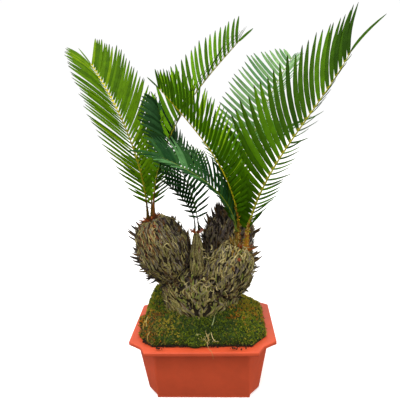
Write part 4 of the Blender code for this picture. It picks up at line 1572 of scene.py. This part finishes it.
class SAGO_OT_stage(Operator):
    """Set the camera at the photograph's angle over a pale floor in soft light"""

    bl_idname = "sago.stage"
    bl_label = "Camera, floor and light"

    def execute(self, context):
        settings = context.scene.sago_stage
        self.set_camera()
        self.set_floor(tuple(settings.floor_color))
        self.set_lights(settings.key_light)
        context.scene.view_settings.view_transform = "Standard"
        return {"FINISHED"}

    def set_camera(self):
        angles = (CAMERA_YAW, CAMERA_PITCH, CAMERA_ROLL)
        yaw, pitch, roll = (math.radians(angle) for angle in angles)
        forward = Vector(
            (-math.sin(yaw) * math.cos(pitch), math.cos(yaw) * math.cos(pitch), -math.sin(pitch))
        )
        level = Vector((math.cos(yaw), math.sin(yaw), 0))
        above = level.cross(forward)
        right = level * math.cos(roll) + above * math.sin(roll)
        up = above * math.cos(roll) - level * math.sin(roll)
        data = bpy.data.cameras.new("photo_camera")
        data.sensor_width = 36
        data.lens = CAMERA_LENS
        data.clip_start = 0.01
        camera = new_object("photo_camera", data)
        turn = Matrix((right, up, -forward)).transposed().to_4x4()
        camera.matrix_world = Matrix.Translation(CAMERA_PLACE) @ turn
        bpy.context.scene.camera = camera

    def set_floor(self, color):
        """A white paper floor, and a far white backdrop that only the camera sees."""
        bpy.ops.object.select_all(action="DESELECT")
        bpy.ops.mesh.primitive_plane_add(size=14)
        floor = bpy.context.object
        floor.name = "studio_floor"
        material = uneven_material("matt_paper_floor", shade(color, 0.99), color, 0.4, 0.9, 0.02 * MM)
        # A light table's sheet glows a little, so the shadows on it stay faint.
        tune(material, {"Emission Color": (*color, 1), "Emission Strength": 0.6})
        floor.data.materials.append(material)
        floor.visible_diffuse = False
        floor.visible_glossy = False
        bpy.ops.object.select_all(action="DESELECT")
        bpy.ops.mesh.primitive_uv_sphere_add(segments=48, ring_count=24, radius=9)
        backdrop = bpy.context.object
        backdrop.name = "studio_backdrop"
        glow = bpy.data.materials.new("white_backdrop")
        glow.use_nodes = True
        black, white = (0, 0, 0, 1), (1, 1, 1, 1)
        tune(glow, {"Base Color": black, "Emission Color": white, "Emission Strength": 1.0})
        backdrop.data.materials.append(glow)
        backdrop.visible_diffuse = False
        backdrop.visible_glossy = False
        backdrop.visible_shadow = False

    def set_lights(self, power):
        for name, (place, size, share) in LAMPS.items():
            data = bpy.data.lights.new(name, "AREA")
            data.energy = power * share
            data.size = size
            lamp = new_object(name, data)
            lamp.location = place
            lamp.rotation_euler = (LAMPS_AIM - lamp.location).to_track_quat("-Z", "Y").to_euler()
        world = bpy.data.worlds.new("studio")
        world.use_nodes = True
        tree = world.node_tree
        background = tree.nodes["Background"].inputs
        background["Color"].default_value = (1, 1, 1, 1)
        # The room is brightest overhead and dim below the horizon.
        place = add_node(tree, "ShaderNodeTexCoord").outputs["Generated"]
        height = add_node(tree, "ShaderNodeSeparateXYZ", links={"Vector": place}).outputs["Z"]
        ramp = add_node(
            tree,
            "ShaderNodeMapRange",
            {"From Min": -0.6, "From Max": 1.0, "To Min": 0.12, "To Max": 1.0},
            {"Value": height},
        )
        tree.links.new(ramp.outputs["Result"], background["Strength"])
        bpy.context.scene.world = world


class SAGO_PT_panel(Panel):
    """Lists the steps that make the plant"""

    bl_label = "Sago palm"
    bl_idname = "SAGO_PT_panel"
    bl_space_type = "VIEW_3D"
    bl_region_type = "UI"
    bl_category = "Sago Palm"

    def draw(self, context):
        for group, operator in STEPS:
            box = self.layout.box()
            settings = getattr(context.scene, group)
            for name in settings.__annotations__:
                box.prop(settings, name)
            box.operator(operator.bl_idname)


GROUPS = {
    "sago_pot": PotSettings,
    "sago_moss": MossSettings,
    "sago_caudex": CaudexSettings,
    "sago_frond": FrondSettings,
    "sago_stage": StageSettings,
}
STEPS = (
    ("sago_stage", SAGO_OT_stage),
    ("sago_pot", SAGO_OT_pot),
    ("sago_pot", SAGO_OT_soil),
    ("sago_moss", SAGO_OT_moss),
    ("sago_caudex", SAGO_OT_caudex),
    ("sago_frond", SAGO_OT_fronds),
)
CLASSES = (
    *GROUPS.values(),
    SAGO_OT_stage,
    SAGO_OT_pot,
    SAGO_OT_soil,
    SAGO_OT_moss,
    SAGO_OT_caudex,
    SAGO_OT_fronds,
    SAGO_PT_panel,
)


def register():
    for cls in CLASSES:
        bpy.utils.register_class(cls)
    for name, group in GROUPS.items():
        setattr(bpy.types.Scene, name, PointerProperty(type=group))


def unregister():
    for name in GROUPS:
        delattr(bpy.types.Scene, name)
    for cls in reversed(CLASSES):
        bpy.utils.unregister_class(cls)


def main():
    register()
    bpy.ops.sago.stage()
    bpy.ops.sago.pot()
    bpy.ops.sago.soil()
    bpy.ops.sago.moss()
    bpy.ops.sago.caudex()
    bpy.ops.sago.fronds()


if __name__ == "__main__":
    main()
